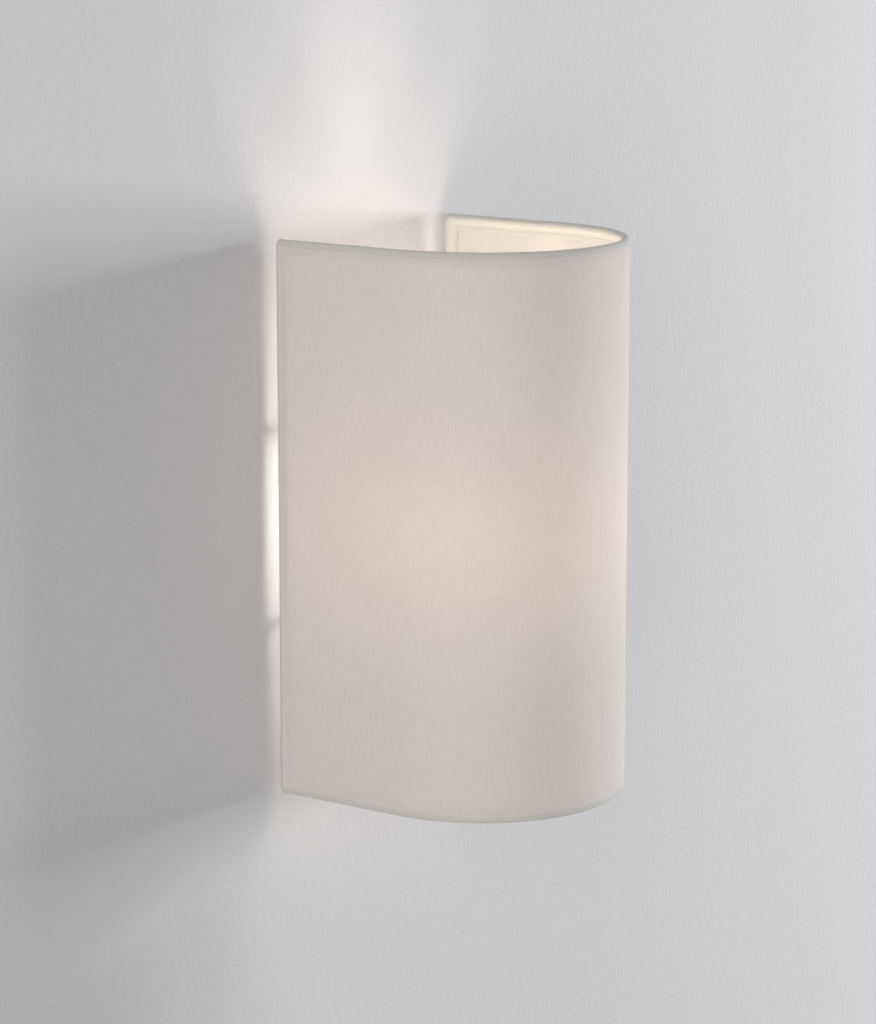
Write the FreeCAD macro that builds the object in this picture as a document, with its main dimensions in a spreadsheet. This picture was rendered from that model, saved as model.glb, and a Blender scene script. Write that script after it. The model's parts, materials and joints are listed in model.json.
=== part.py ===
"""Fabric shade wall light: a U-shaped cloth shade on a wire frame, hung on a wall pan with a lampholder.

Millimetres, +Z up, +X to the right seen from the room. The origin is on the wall, at the middle of the wall
plate, and the light stands out from the wall along -Y. "Out" below is a distance from the wall.
"""
import math
import os
import re

import FreeCAD
import Part
import Sketcher

DIMENSIONS = (
    # the shade
    ("shade_width", 130),
    ("shade_depth", 130),
    ("shade_height", 250),
    ("wall_gap", 5),
    ("cloth_thick", 0.6),
    ("liner_thick", 0.5),
    ("hem_turn_in", 6.5),
    # the shade's wire frame
    ("hem_wire_radius", 1.2),
    ("rod_radius", 1.5),
    ("rod_bend", 4),
    ("carrier_level", 36),
    ("rest_level", -44),
    ("carrier_side", 41.5),
    ("rest_reach_in", 32),
    ("lug_width", 16),
    ("lug_thick", 1.2),
    ("lug_foot_level", 18),
    ("lug_slot_width", 4.6),
    # the wall plate and the studs that stand on it
    ("plate_width", 70),
    ("plate_height", 96),
    ("plate_thick", 1.5),
    ("plate_corner", 5),
    ("slot_spacing", 50),
    ("slot_length", 12),
    ("slot_width", 4.6),
    ("stud_spacing", 56),
    ("stud_level", 28),
    ("stud_radius", 2),
    ("stud_reach", 34.5),
    ("stud_foot_radius", 2.8),
    ("stud_foot_thick", 0.8),
    ("stud_clearance", 0.25),
    # the cable's way in
    ("entry_level", 22),
    ("entry_hole_radius", 8),
    ("entry_flange_radius", 11),
    ("entry_flange_thick", 2),
    ("entry_bore_radius", 4.5),
    # the terminal block
    ("block_width", 30),
    ("block_height", 16),
    ("block_depth", 13),
    ("block_level", -8),
    ("pole_pitch", 10),
    ("pole_out", 7),
    ("barrel_radius", 2.7),
    ("barrel_bore_radius", 1.6),
    ("barrel_length", 14),
    ("pole_screw_radius", 1.4),
    ("pole_screw_rise", 4),
    ("pole_screw_length", 4.5),
    ("pole_screw_clearance", 0.3),
    ("small_screw_radius", 1.5),
    ("small_head_radius", 2.75),
    ("small_head_thick", 1.8),
    ("head_side_share", 0.6),
    ("head_face_share", 0.8),
    # earth
    ("earth_level", -42),
    ("earth_stud_reach", 10),
    ("tag_radius", 4),
    ("tag_thick", 0.8),
    ("tag_neck", 1),
    ("tag_clearance", 0.1),
    ("tag_sleeve_radius", 1.9),
    ("tag_sleeve_length", 6),
    ("nut_flat_radius", 3.5),
    ("nut_thick", 3.2),
    ("nut_clearance", 0.05),
    # the wires
    ("core_radius", 1.2),
    ("core_spread", 1.4),
    ("core_straight", 4),
    ("core_lane_out", 9),
    ("core_drop_out", 36),
    ("core_exit_level", -98),
    ("core_end_rise", 1.5),
    ("core_end_side", 7),
    # the pan
    ("pan_width", 76),
    ("pan_height", 108),
    ("pan_depth", 18),
    ("pan_wall", 1),
    ("pan_corner", 8),
    ("pan_edge", 1.5),
    ("pan_exit_level", -38),
    ("pan_exit_radius", 5),
    ("grommet_bore_radius", 3.2),
    ("grommet_flange_radius", 6.5),
    ("grommet_flange_thick", 1.5),
    # the bracket
    ("bracket_width", 26),
    ("bracket_thick", 2),
    ("bracket_top", -20),
    ("bracket_foot", -109),
    ("bracket_reach", 92),
    ("bracket_bend", 3),
    ("rivet_radius", 1.6),
    ("rivet_head_radius", 3),
    ("rivet_head_thick", 1.2),
    ("upper_rivet_level", -26),
    ("lower_rivet_level", -50),
    # the lampholder
    ("holder_radius", 19.5),
    ("holder_wall", 3.3),
    ("holder_floor", 3),
    ("holder_joint_level", -84),
    ("holder_spigot_radius", 17.5),
    ("holder_spigot_rise", 6),
    ("holder_mouth_level", -50),
    ("holder_lip_radius", 14.2),
    ("holder_lip_thick", 3),
    ("mouth_edge", 1),
    ("push_fit", 0.1),
    ("holder_screw_spread", 9),
    ("insert_radius", 16),
    ("insert_foot_level", -93),
    ("insert_top_level", -80),
    ("contact_screw_depth", 5),
    ("thread_bore_radius", 13.5),
    ("thread_sheet", 0.4),
    ("thread_top_level", -56),
    ("leaf_width", 5),
    ("leaf_thick", 0.5),
    ("leaf_length", 9),
    ("leaf_heel", 4),
    ("leaf_crest", 2),
    ("leaf_tip", 3),
    ("leaf_lean", 0.2),
    ("leaf_gap", 0.2),
    # the lamp
    ("lamp_radius", 30),
    ("lamp_level", 0),
    ("lamp_neck_radius", 22.5),
    ("lamp_neck_level", -24),
    ("lamp_bowl_radius", 42.15),
    ("lamp_glass", 1),
    ("collar_foot_radius", 13.8),
    ("collar_wall", 1.8),
    ("collar_floor_rise", 2),
    ("spigot_depth", 7),
    ("board_rise", 0.3),
    ("board_thick", 1.6),
    ("board_edge", 3),
    ("cap_top_level", -50.5),
    ("cap_foot_level", -72),
    ("cap_radius", 13.15),
    ("cap_sheet", 0.3),
    ("cap_foot_radius", 11.5),
    ("cap_foot_rim", 0.7),
    ("cap_taper", 2.5),
    ("cap_tip_radius", 4.6),
    ("cap_tip_crown", 1.5),
    ("cap_tip_level", -78),
    ("cap_insulator_level", -75.5),
    ("cap_insulator_margin", 0.9),
    # the washers and thumb nuts
    ("washer_radius", 5.5),
    ("washer_bore_radius", 2.15),
    ("washer_thick", 1),
    ("thumb_radius", 6),
    ("thumb_grip", 6),
    ("thumb_hub_radius", 4),
    ("thumb_length", 8),
    ("thumb_bore_radius", 2.06),
    ("flute_radius", 0.6),
    ("flute_count", 24),
    ("clamp_play", 0.3),
)
SHEET = "Dims"
WORDS = {word for word, number in DIMENSIONS}
LEAST_CUT = 0.01  # cubic millimetres that a pocket has to take away

# lengths that follow from the dimensions above, as expressions
AXIS = "(wall_gap + shade_depth - shade_width / 2)"  # out to the nose's centre, where the lamp stands
HEM = "(hem_wire_radius + cloth_thick)"  # radius of the rolled edge
WIRE_SIDE = f"(shade_width / 2 - {HEM})"
WIRE_BACK = f"(wall_gap + {HEM})"
WIRE_LEVEL = f"(shade_height / 2 - {HEM})"
LINER_FACE = "(shade_width / 2 - cloth_thick - liner_thick)"
ROD_END = f"({WIRE_SIDE} - hem_wire_radius)"
LUG_BACK = "(pan_depth + nut_thick + clamp_play)"
LUG_OUT = f"({LUG_BACK} + lug_thick / 2)"
REST_OUT = "(pan_depth + clamp_play + rod_radius)"
WASHER_OUT = f"({LUG_BACK} + lug_thick + clamp_play)"
THUMB_OUT = f"({WASHER_OUT} + washer_thick)"
HOLDER_FOOT = "(bracket_foot + bracket_thick)"

UPRIGHT = FreeCAD.Rotation()
OUTWARD = FreeCAD.Rotation(FreeCAD.Vector(1, 0, 0), 90)  # a turned piece's axis points out of the wall

doc = FreeCAD.newDocument("fabric_shade_wall_light")
sheet = doc.addObject("Spreadsheet::Sheet", SHEET)
for row, (word, number) in enumerate(DIMENSIONS, start=1):
    sheet.set(f"A{row}", word.replace("_", " "))
    sheet.set(f"B{row}", str(number))
    sheet.setAlias(f"B{row}", word)
doc.recompute()


def linked(text):
    """An expression with its dimension words turned into references to the sheet."""
    def reference(word):
        return f"{SHEET}.{word[0]}" if word[0] in WORDS else word[0]

    return re.sub(r"[a-z]\w*", reference, str(text))


def size(text):
    """The number that an expression gives now."""
    return float(sheet.evalExpression(linked(text)))


def bind(thing, place, text):
    thing.setExpression(place, linked(text))


def put(thing, label, x=0, y=0, z=0, turn=UPRIGHT):
    """Name a finished piece and place it; its place stays bound to the sheet."""
    thing.Label = label
    thing.Placement = FreeCAD.Placement(FreeCAD.Vector(size(x), size(y), size(z)), turn)
    for axis, text in zip("xyz", (x, y, z)):
        bind(thing, f"Placement.Base.{axis}", text)
    return thing


# ---------------------------------------------------------------- sketches


def body(label):
    made = doc.addObject("PartDesign::Body", label)
    made.Label = label
    return made


def plane(made, role):
    return next(part for part in made.Origin.OriginFeatures if part.Role == role)


def sketch(made, role, offset=0):
    """A sketch on one of the body's own planes, moved along its normal by the offset."""
    drawn = made.newObject("Sketcher::SketchObject", "sketch")
    drawn.AttachmentSupport = [(plane(made, role), "")]
    drawn.MapMode = "FlatFace"
    bind(drawn, "AttachmentOffset.Base.z", offset)
    return drawn


def hold(drawn, kind, edge, point, text):
    """Hold a sketch point at a coordinate that is bound to the sheet."""
    index = drawn.addConstraint(Sketcher.Constraint(kind, -1, 1, edge, point, size(text)))
    name = f"{kind}_{index}"
    drawn.renameConstraint(index, name)
    bind(drawn, f"Constraints.{name}", text)


def hold_radius(drawn, edge, text):
    index = drawn.addConstraint(Sketcher.Constraint("Radius", edge, size(text)))
    name = f"Radius_{index}"
    drawn.renameConstraint(index, name)
    bind(drawn, f"Constraints.{name}", text)


def bowed(start, end, radius):
    """An arc between two points; it bows to the right of the way it is walked, or to the left below zero."""
    chord = end - start
    right = FreeCAD.Vector(chord.y, -chord.x, 0).normalize()
    bow = abs(radius) - math.sqrt(max(radius ** 2 - (chord.Length / 2) ** 2, 0))
    return Part.Arc(start, (start + end) * 0.5 + right * math.copysign(bow, radius), end)


def outline(drawn, corners, closed=True):
    """Draw lines and arcs through the corners; a third entry is the radius of the edge that starts there."""
    points = [FreeCAD.Vector(size(corner[0]), size(corner[1]), 0) for corner in corners]
    edges = []
    for number, corner in enumerate(corners if closed else corners[:-1]):
        start, end = points[number], points[(number + 1) % len(points)]
        if len(corner) == 2:
            edges.append((drawn.addGeometry(Part.LineSegment(start, end)), 1, 2))
            continue
        radius = size(corner[2])
        edge = drawn.addGeometry(bowed(start, end, radius))
        edges.append((edge, 1, 2) if radius > 0 else (edge, 2, 1))
    for number, (edge, first, last) in enumerate(edges):
        hold(drawn, "DistanceX", edge, first, corners[number][0])
        hold(drawn, "DistanceY", edge, first, corners[number][1])
        if number or closed:
            before = edges[number - 1]
            drawn.addConstraint(Sketcher.Constraint("Coincident", before[0], before[2], edge, first))
        if len(corners[number]) == 3:
            hold_radius(drawn, edge, f"abs({corners[number][2]})")
    if not closed:
        edge, first, last = edges[-1]
        hold(drawn, "DistanceX", edge, last, corners[-1][0])
        hold(drawn, "DistanceY", edge, last, corners[-1][1])


def circle(drawn, x, y, radius):
    centre = FreeCAD.Vector(size(x), size(y), 0)
    edge = drawn.addGeometry(Part.Circle(centre, FreeCAD.Vector(0, 0, 1), size(radius)))
    hold(drawn, "DistanceX", edge, 3, x)
    hold(drawn, "DistanceY", edge, 3, y)
    hold_radius(drawn, edge, radius)


def rounded_box(width, height, corner):
    """Corners of a rectangle about the origin, with rounded corners."""
    x, y = f"({width}) / 2", f"({height}) / 2"
    return [
        (f"-{x} + {corner}", f"-{y}"),
        (f"{x} - ({corner})", f"-{y}", corner),
        (f"{x}", f"-{y} + {corner}"),
        (f"{x}", f"{y} - ({corner})", corner),
        (f"{x} - ({corner})", f"{y}"),
        (f"-{x} + {corner}", f"{y}", corner),
        (f"-{x}", f"{y} - ({corner})"),
        (f"-{x}", f"-{y} + {corner}", corner),
    ]


def slot(x, y, length, width):
    """Corners of a round-ended slot that runs sideways."""
    half, radius = f"(({length}) - ({width})) / 2", f"({width}) / 2"
    return [
        (f"{x} - {half}", f"{y} - {radius}"),
        (f"{x} + {half}", f"{y} - {radius}", radius),
        (f"{x} + {half} + {radius}", f"{y}", radius),
        (f"{x} + {half}", f"{y} + {radius}"),
        (f"{x} - {half}", f"{y} + {radius}", radius),
        (f"{x} - {half} - {radius}", f"{y}", radius),
    ]


def u_line(half, back):
    """The shade's U in plan: from the left back edge round the nose to the right back edge."""
    return [
        (f"-({half})", f"-({back})"),
        (f"-({half})", f"-{AXIS}", half),
        ("0", f"-{AXIS} - ({half})", half),
        (half, f"-{AXIS}"),
        (half, f"-({back})"),
    ]


def u_wall(outer, inner, back):
    """A closed outline between two such lines."""
    home = [
        (inner, f"-({back})"),
        (inner, f"-{AXIS}", f"-({inner})"),
        ("0", f"-{AXIS} - ({inner})", f"-({inner})"),
        (f"-({inner})", f"-{AXIS}"),
        (f"-({inner})", f"-({back})"),
    ]
    return u_line(outer, back) + home


# ---------------------------------------------------------------- features


def pad(made, drawn, length):
    feature = made.newObject("PartDesign::Pad", "pad")
    feature.Profile = drawn
    bind(feature, "Length", length)
    return feature


def pocket(made, drawn, length, along_normal=True):
    """Cut a sketch away and make sure that it cut something."""
    doc.recompute()
    before = made.Shape.Volume
    feature = made.newObject("PartDesign::Pocket", "pocket")
    feature.Profile = drawn
    bind(feature, "Length", length)
    feature.Reversed = along_normal
    doc.recompute()
    if made.Shape.Volume > before - LEAST_CUT:
        raise RuntimeError(f"{made.Label}: a pocket cut nothing")
    return feature


def pipe(made, profile, path):
    feature = made.newObject("PartDesign::AdditivePipe", "pipe")
    feature.Profile = profile
    feature.Spine = (path, [f"Edge{number + 1}" for number in range(path.GeometryCount)])
    return feature


def turned(label, corners, x=0, y=0, z=0, turn=UPRIGHT):
    """A turned piece from its outline in (radius, height)."""
    made = body(label)
    drawn = sketch(made, "XZ_Plane")
    outline(drawn, corners)
    feature = made.newObject("PartDesign::Revolution", "revolution")
    feature.Profile = drawn
    feature.ReferenceAxis = (drawn, ["V_Axis"])
    feature.Angle = 360
    return put(made, label, x, y, z, turn)


def tube(outer, inner, foot, top):
    """Outline of a plain turned ring."""
    return [(inner, foot), (outer, foot), (outer, top), (inner, top)]


def headed(shank, length, head, thick):
    """Outline of a screw or rivet: the head is above zero and the shank below it."""
    return [("0", f"-({length})"), (shank, f"-({length})"), (shank, "0"), (head, "0"),
            (head, f"({thick}) * head_side_share"), (f"({head}) * head_face_share", thick), ("0", thick)]


def group(label, members):
    """Identical small pieces as one node of separate solids."""
    made = doc.addObject("Part::Compound", label)
    made.Links = members
    made.Label = label
    return made


def cut(label, base, tools):
    """A shape with others taken out of it."""
    for number, tool in enumerate(tools):
        result = doc.addObject("Part::Cut", f"{label}_cut")
        result.Base = base
        result.Tool = tool
        result.Label = f"{label}_cut_{number}"
        base = result
    base.Label = label
    return base


def rod(label, radius, path_corners, level, start_role, start_offset, start_across):
    """A wire bent in plan, swept from a circle on the plane where it starts."""
    made = body(label)
    path = sketch(made, "XY_Plane", level)
    outline(path, path_corners, closed=False)
    profile = sketch(made, start_role, start_offset)
    circle(profile, start_across, level, radius)
    pipe(made, profile, path)
    return made


def tangent_route(points, share=0.45):
    """Straight runs joined by tangent arcs, each as large as its two runs allow."""
    edges, start, radii = [], points[0], []
    for before, here, after in zip(points, points[1:], points[2:]):
        come, leave = (here - before), (after - here)
        shorter = min(come.Length, leave.Length)
        half_turn = come.getAngle(leave) / 2
        cut_back = share * shorter
        come.normalize()
        leave.normalize()
        entry, leaving = here - come * cut_back, here + leave * cut_back
        radius = cut_back / math.tan(half_turn)
        inward = (leave - come).normalize()
        middle = here + inward * (radius / math.cos(half_turn) - radius)
        edges.append(Part.LineSegment(start, entry).toShape())
        edges.append(Part.Arc(entry, middle, leaving).toShape())
        radii.append(radius)
        start = leaving
    edges.append(Part.LineSegment(start, points[-1]).toShape())
    return Part.Wire(edges), radii


def core(label, stations):
    """An insulated wire along its route; it says its bends and compares its volume with its length."""
    points = [FreeCAD.Vector(*(size(text) for text in station)) for station in stations]
    route, radii = tangent_route(points)
    radius = size("core_radius")
    ring = Part.Circle(points[0], points[1] - points[0], radius).toShape()
    made = doc.addObject("Part::Feature", label)
    made.Label = label
    made.Shape = route.makePipeShell([Part.Wire(ring)], True, False)
    made.Placement = FreeCAD.Placement()
    expected = math.pi * radius ** 2 * route.Length
    print(f"{label}: {route.Length:.1f} mm long, bends", " ".join(f"{bend:.1f}" for bend in radii),
          f"mm, volume {made.Shape.Volume / expected:.4f} of its section times its length")
    return made


# ---------------------------------------------------------------- the wall plate and what stands on it


def wall_plate():
    """Pressed steel plate with two slots for the wall screws and the cable's hole."""
    made = body("wall_plate")
    drawn = sketch(made, "XZ_Plane")
    outline(drawn, rounded_box("plate_width", "plate_height", "plate_corner"))
    for side in (-1, 1):
        outline(drawn, slot(f"{side} * slot_spacing / 2", "0", "slot_length", "slot_width"))
        circle(drawn, f"{side} * pole_pitch / 2", "block_level", "small_screw_radius")
    circle(drawn, "0", "entry_level", "entry_hole_radius")
    pad(made, drawn, "plate_thick")
    return made


def plate_studs():
    """The two studs that carry the pan and the shade."""
    profile = [("0", "0"), ("stud_foot_radius", "0"), ("stud_foot_radius", "stud_foot_thick"),
               ("stud_radius", "stud_foot_thick"), ("stud_radius", "stud_reach - plate_thick"),
               ("0", "stud_reach - plate_thick")]
    return group("plate_studs", [
        turned(f"stud_{side}", profile, f"{side} * stud_spacing / 2", "-plate_thick", "stud_level", OUTWARD)
        for side in (-1, 1)])


def cable_grommet():
    """Rubber ring in the cable's hole, flush with the wall side."""
    return turned("cable_grommet", [
        ("entry_bore_radius", "0"), ("entry_hole_radius", "0"), ("entry_hole_radius", "plate_thick"),
        ("entry_flange_radius", "plate_thick"), ("entry_flange_radius", "plate_thick + entry_flange_thick"),
        ("entry_bore_radius", "plate_thick + entry_flange_thick")], z="entry_level", turn=OUTWARD)


# ---------------------------------------------------------------- the terminal block


def terminal_block():
    """Moulded block with three poles, two screws to a pole and two fixing holes between them."""
    made = body("terminal_block")
    face = sketch(made, "XZ_Plane", "plate_thick")
    x, low, high = "block_width / 2", "block_level - block_height / 2", "block_level + block_height / 2"
    outline(face, [(f"-{x}", low), (x, low), (x, high), (f"-{x}", high)])
    for side in (-1, 1):
        circle(face, f"{side} * pole_pitch / 2", "block_level", "small_screw_radius")
    pad(made, face, "block_depth")
    bores = sketch(made, "XY_Plane", low)
    for pole in (-1, 0, 1):
        circle(bores, f"{pole} * pole_pitch", "-pole_out", "barrel_radius")
    pocket(made, bores, "block_height")
    ways = sketch(made, "XZ_Plane", "pole_out")
    for pole in (-1, 0, 1):
        for rise in (-1, 1):
            circle(ways, f"{pole} * pole_pitch", f"block_level + {rise} * pole_screw_rise",
                   "pole_screw_radius + pole_screw_clearance")
    pocket(made, ways, "block_depth")
    return made


def terminal_barrels():
    """Brass barrels that the wires enter from below and the supply from above."""
    members = []
    for pole in (-1, 0, 1):
        made = body(f"barrel_{pole}")
        ring = sketch(made, "XY_Plane", "block_level - barrel_length / 2")
        circle(ring, f"{pole} * pole_pitch", "-pole_out", "barrel_radius")
        circle(ring, f"{pole} * pole_pitch", "-pole_out", "barrel_bore_radius")
        pad(made, ring, "barrel_length")
        ways = sketch(made, "XZ_Plane", "pole_out")
        for rise in (-1, 1):
            circle(ways, f"{pole} * pole_pitch", f"block_level + {rise} * pole_screw_rise",
                   "pole_screw_radius")
        pocket(made, ways, "block_depth")
        members.append(made)
    return group("terminal_barrels", members)


def terminal_screws():
    """One clamping screw above and one below in each pole."""
    tip = "pole_out + barrel_bore_radius"
    return group("terminal_screws", [
        turned(f"pole_screw_{pole}_{rise}",
               [("0", "0"), ("pole_screw_radius", "0"), ("pole_screw_radius", "pole_screw_length"),
                ("0", "pole_screw_length")],
               f"{pole} * pole_pitch", f"-({tip})", f"block_level + {rise} * pole_screw_rise", OUTWARD)
        for pole in (-1, 0, 1) for rise in (-1, 1)])


def block_screws():
    face = "plate_thick + block_depth"
    return group("block_screws", [
        turned(f"block_screw_{side}",
               headed("small_screw_radius", face, "small_head_radius", "small_head_thick"),
               f"{side} * pole_pitch / 2", f"-({face})", "block_level", OUTWARD)
        for side in (-1, 1)])


# ---------------------------------------------------------------- earth and the wires


def earth_stud():
    return turned("earth_stud", [
        ("0", "0"), ("stud_foot_radius", "0"), ("stud_foot_radius", "stud_foot_thick"),
        ("stud_radius", "stud_foot_thick"), ("stud_radius", "earth_stud_reach"), ("0", "earth_stud_reach")],
        y="-plate_thick", z="earth_level", turn=OUTWARD)


TAG_BACK = "(plate_thick + stud_foot_thick)"
SLEEVE_OUT = f"({TAG_BACK} + tag_sleeve_radius)"
SLEEVE_FOOT = "(earth_level + tag_radius + tag_neck)"


def earth_tag():
    """Ring tag on the stud with the crimped sleeve above it."""
    made = body("earth_tag")
    ring = sketch(made, "XZ_Plane", TAG_BACK)
    neck, rise = "tag_sleeve_radius", f"earth_level + sqrt(tag_radius ^ 2 - tag_sleeve_radius ^ 2)"
    side = "tag_radius"
    outline(ring, [
        (f"-{neck}", rise, side), (f"-{side}", "earth_level", side), ("0", f"earth_level - {side}", side),
        (side, "earth_level", side), (neck, rise), (neck, SLEEVE_FOOT), (f"-{neck}", SLEEVE_FOOT)])
    circle(ring, "0", "earth_level", "stud_radius + tag_clearance")
    pad(made, ring, "tag_thick")
    sleeve = sketch(made, "XY_Plane", SLEEVE_FOOT)
    circle(sleeve, "0", f"-{SLEEVE_OUT}", "tag_sleeve_radius")
    pad(made, sleeve, "tag_sleeve_length")
    bore = sketch(made, "XY_Plane", f"{SLEEVE_FOOT} + tag_thick")
    circle(bore, "0", f"-{SLEEVE_OUT}", "core_radius")
    pocket(made, bore, "tag_sleeve_length")
    return made


def hex_nut(label, x, out, level):
    """Plain nut; its flats face the sides of the plate."""
    made = body(label)
    drawn = sketch(made, "XZ_Plane", out)
    point = "nut_flat_radius / cos(30 deg)"
    outline(drawn, [(f"{x} + {point} * cos({turn} deg)", f"{level} + {point} * sin({turn} deg)")
                    for turn in range(0, 360, 60)])
    circle(drawn, x, level, "stud_radius + nut_clearance")
    pad(made, drawn, "nut_thick")
    return made


def earth_nut():
    return hex_nut("earth_nut", "0", f"{TAG_BACK} + tag_thick", "earth_level")


def pan_nuts():
    """The two nuts that hold the pan; the shade's lugs bear on them."""
    return group("pan_nuts", [
        hex_nut(f"pan_nut_{side}", f"{side} * stud_spacing / 2", "pan_depth", "stud_level")
        for side in (-1, 1)])


def supply_core(label, side):
    """From its pole, out through the pan, down behind the lampholder and in under its terminal."""
    pole, lane = f"{side} * pole_pitch", f"{side} * core_spread"
    return core(label, [
        (pole, "-pole_out", "block_level - pole_screw_rise"),
        (pole, "-pole_out", "block_level - block_height"),
        (lane, "-core_lane_out", "pan_exit_level"),
        (lane, "-core_drop_out", "pan_exit_level"),
        (lane, "-core_drop_out", "core_exit_level"),
        (lane, f"-{AXIS} + holder_radius - holder_wall", "core_exit_level"),
        (f"{side} * core_end_side", f"-{AXIS} + core_straight", "core_exit_level + core_end_rise")])


def live_wire():
    return supply_core("live_wire", -1)


def neutral_wire():
    return supply_core("neutral_wire", 1)


def earth_wire():
    """From the middle pole to the tag on the wall plate."""
    return core("earth_wire", [
        ("0", "-pole_out", "block_level - pole_screw_rise"),
        ("0", "-pole_out", "block_level - block_height / 2 - core_straight"),
        ("0", f"-{SLEEVE_OUT}", f"{SLEEVE_FOOT} + tag_sleeve_length + core_straight"),
        ("0", f"-{SLEEVE_OUT}", f"{SLEEVE_FOOT} + tag_thick")])


# ---------------------------------------------------------------- the pan and the bracket


def round_front(pan):
    """Round the fold between the pan's sides and its front."""
    doc.recompute()
    side, top, front = size("pan_width / 2"), size("pan_height / 2"), size("pan_depth")

    def on_fold(point):
        from_sides = min(abs(abs(point.x) - side), abs(abs(point.z) - top))
        return abs(point.y + front) + from_sides < Part.Precision.confusion()

    sharp = pan.Tip
    names = [f"Edge{number}" for number, edge in enumerate(sharp.Shape.Edges, start=1)
             if all(on_fold(vertex.Point) for vertex in edge.Vertexes)]
    fold = pan.newObject("PartDesign::Fillet", "fold")
    fold.Base = (sharp, names)
    bind(fold, "Radius", "pan_edge")


def cover_pan():
    """Pressed white pan over the wiring; its rim stands on the wall."""
    made = body("cover_pan")
    rim = sketch(made, "XZ_Plane")
    outline(rim, rounded_box("pan_width", "pan_height", "pan_corner"))
    outline(rim, rounded_box("(pan_width - 2 * pan_wall)", "(pan_height - 2 * pan_wall)",
                             "(pan_corner - pan_wall)"))
    pad(made, rim, "pan_depth")
    front = sketch(made, "XZ_Plane", "pan_depth - pan_wall")
    outline(front, rounded_box("pan_width", "pan_height", "pan_corner"))
    for side in (-1, 1):
        circle(front, f"{side} * stud_spacing / 2", "stud_level", "stud_radius + stud_clearance")
    circle(front, "0", "pan_exit_level", "pan_exit_radius")
    for level in ("upper_rivet_level", "lower_rivet_level"):
        circle(front, "0", level, "rivet_radius")
    pad(made, front, "pan_wall")
    round_front(made)
    return made


def pan_grommet():
    """Rubber grommet that grips the pan and the bracket where the wires go through."""
    back, front = "pan_depth - pan_wall", "pan_depth + bracket_thick"
    return turned("pan_grommet", [
        ("grommet_bore_radius", f"{back} - grommet_flange_thick"),
        ("grommet_flange_radius", f"{back} - grommet_flange_thick"), ("grommet_flange_radius", back),
        ("pan_exit_radius", back), ("pan_exit_radius", front), ("grommet_flange_radius", front),
        ("grommet_flange_radius", f"{front} + grommet_flange_thick"),
        ("grommet_bore_radius", f"{front} + grommet_flange_thick")], z="pan_exit_level", turn=OUTWARD)


def lamp_bracket():
    """Steel strap: down the front of the pan, then out under the lampholder."""
    made = body("lamp_bracket")
    side = sketch(made, "YZ_Plane", "-bracket_width / 2")
    back, face = "-pan_depth", "-(pan_depth + bracket_thick)"
    outline(side, [
        (back, "bracket_top"), (face, "bracket_top"),
        (face, f"{HOLDER_FOOT} + bracket_bend", "-bracket_bend"), (f"{face} - bracket_bend", HOLDER_FOOT),
        ("-bracket_reach", HOLDER_FOOT), ("-bracket_reach", "bracket_foot"),
        (f"{face} - bracket_bend", "bracket_foot", "bracket_bend + bracket_thick"),
        (back, f"{HOLDER_FOOT} + bracket_bend")])
    pad(made, side, "bracket_width")
    holes = sketch(made, "XZ_Plane", "pan_depth")
    circle(holes, "0", "pan_exit_level", "pan_exit_radius")
    for level in ("upper_rivet_level", "lower_rivet_level"):
        circle(holes, "0", level, "rivet_radius")
    pocket(made, holes, "bracket_thick")
    below = sketch(made, "XY_Plane", "bracket_foot")
    for side in (-1, 1):
        circle(below, "0", f"-{AXIS} + {side} * holder_screw_spread", "small_screw_radius")
    pocket(made, below, "bracket_thick")
    return made


def bracket_rivets():
    """A head in front of the bracket, a shank through both sheets and a closed head inside the pan."""
    grip, inner = "(pan_wall + bracket_thick)", "rivet_head_radius * head_face_share"
    profile = [
        ("0", "-rivet_head_thick"), (inner, "-rivet_head_thick"), (inner, "0"), ("rivet_radius", "0"),
        ("rivet_radius", grip), ("rivet_head_radius", grip),
        (inner, f"{grip} + rivet_head_thick"), ("0", f"{grip} + rivet_head_thick")]
    return group("bracket_rivets", [
        turned(f"rivet_{number}", profile, y="-(pan_depth - pan_wall)", z=level, turn=OUTWARD)
        for number, level in enumerate(("upper_rivet_level", "lower_rivet_level"))])


# ---------------------------------------------------------------- the lampholder


def holder_base():
    """Moulded cup on the bracket, with the wires' slot in its wall side."""
    bore = "holder_radius - holder_wall"
    made = turned("holder_base", [
        ("0", "0"), ("holder_radius", "0"), ("holder_radius", f"holder_joint_level - {HOLDER_FOOT}"),
        ("holder_spigot_radius", f"holder_joint_level - {HOLDER_FOOT}"),
        ("holder_spigot_radius", f"holder_joint_level + holder_spigot_rise - {HOLDER_FOOT}"),
        (bore, f"holder_joint_level + holder_spigot_rise - {HOLDER_FOOT}"), (bore, "holder_floor"),
        ("0", "holder_floor")], y=f"-{AXIS}", z=HOLDER_FOOT)
    way = sketch(made, "XZ_Plane")
    outline(way, slot("0", f"core_exit_level - {HOLDER_FOOT}", "2 * core_spread + 4 * core_radius",
                      "3 * core_radius"))
    pocket(made, way, "2 * holder_radius", along_normal=False)
    holes = sketch(made, "XY_Plane")
    for side in (-1, 1):
        circle(holes, "0", f"{side} * holder_screw_spread", "small_screw_radius")
    pocket(made, holes, "holder_floor")
    return made


def holder_base_screws():
    """Two screws from below, through the bracket into the base."""
    return group("holder_base_screws", [
        turned(f"base_screw_{side}",
               headed("small_screw_radius", "bracket_thick + holder_floor", "small_head_radius",
                      "small_head_thick"),
               y=f"-{AXIS} + {side} * holder_screw_spread", z="bracket_foot",
               turn=FreeCAD.Rotation(FreeCAD.Vector(1, 0, 0), 180))
        for side in (-1, 1)])


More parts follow.
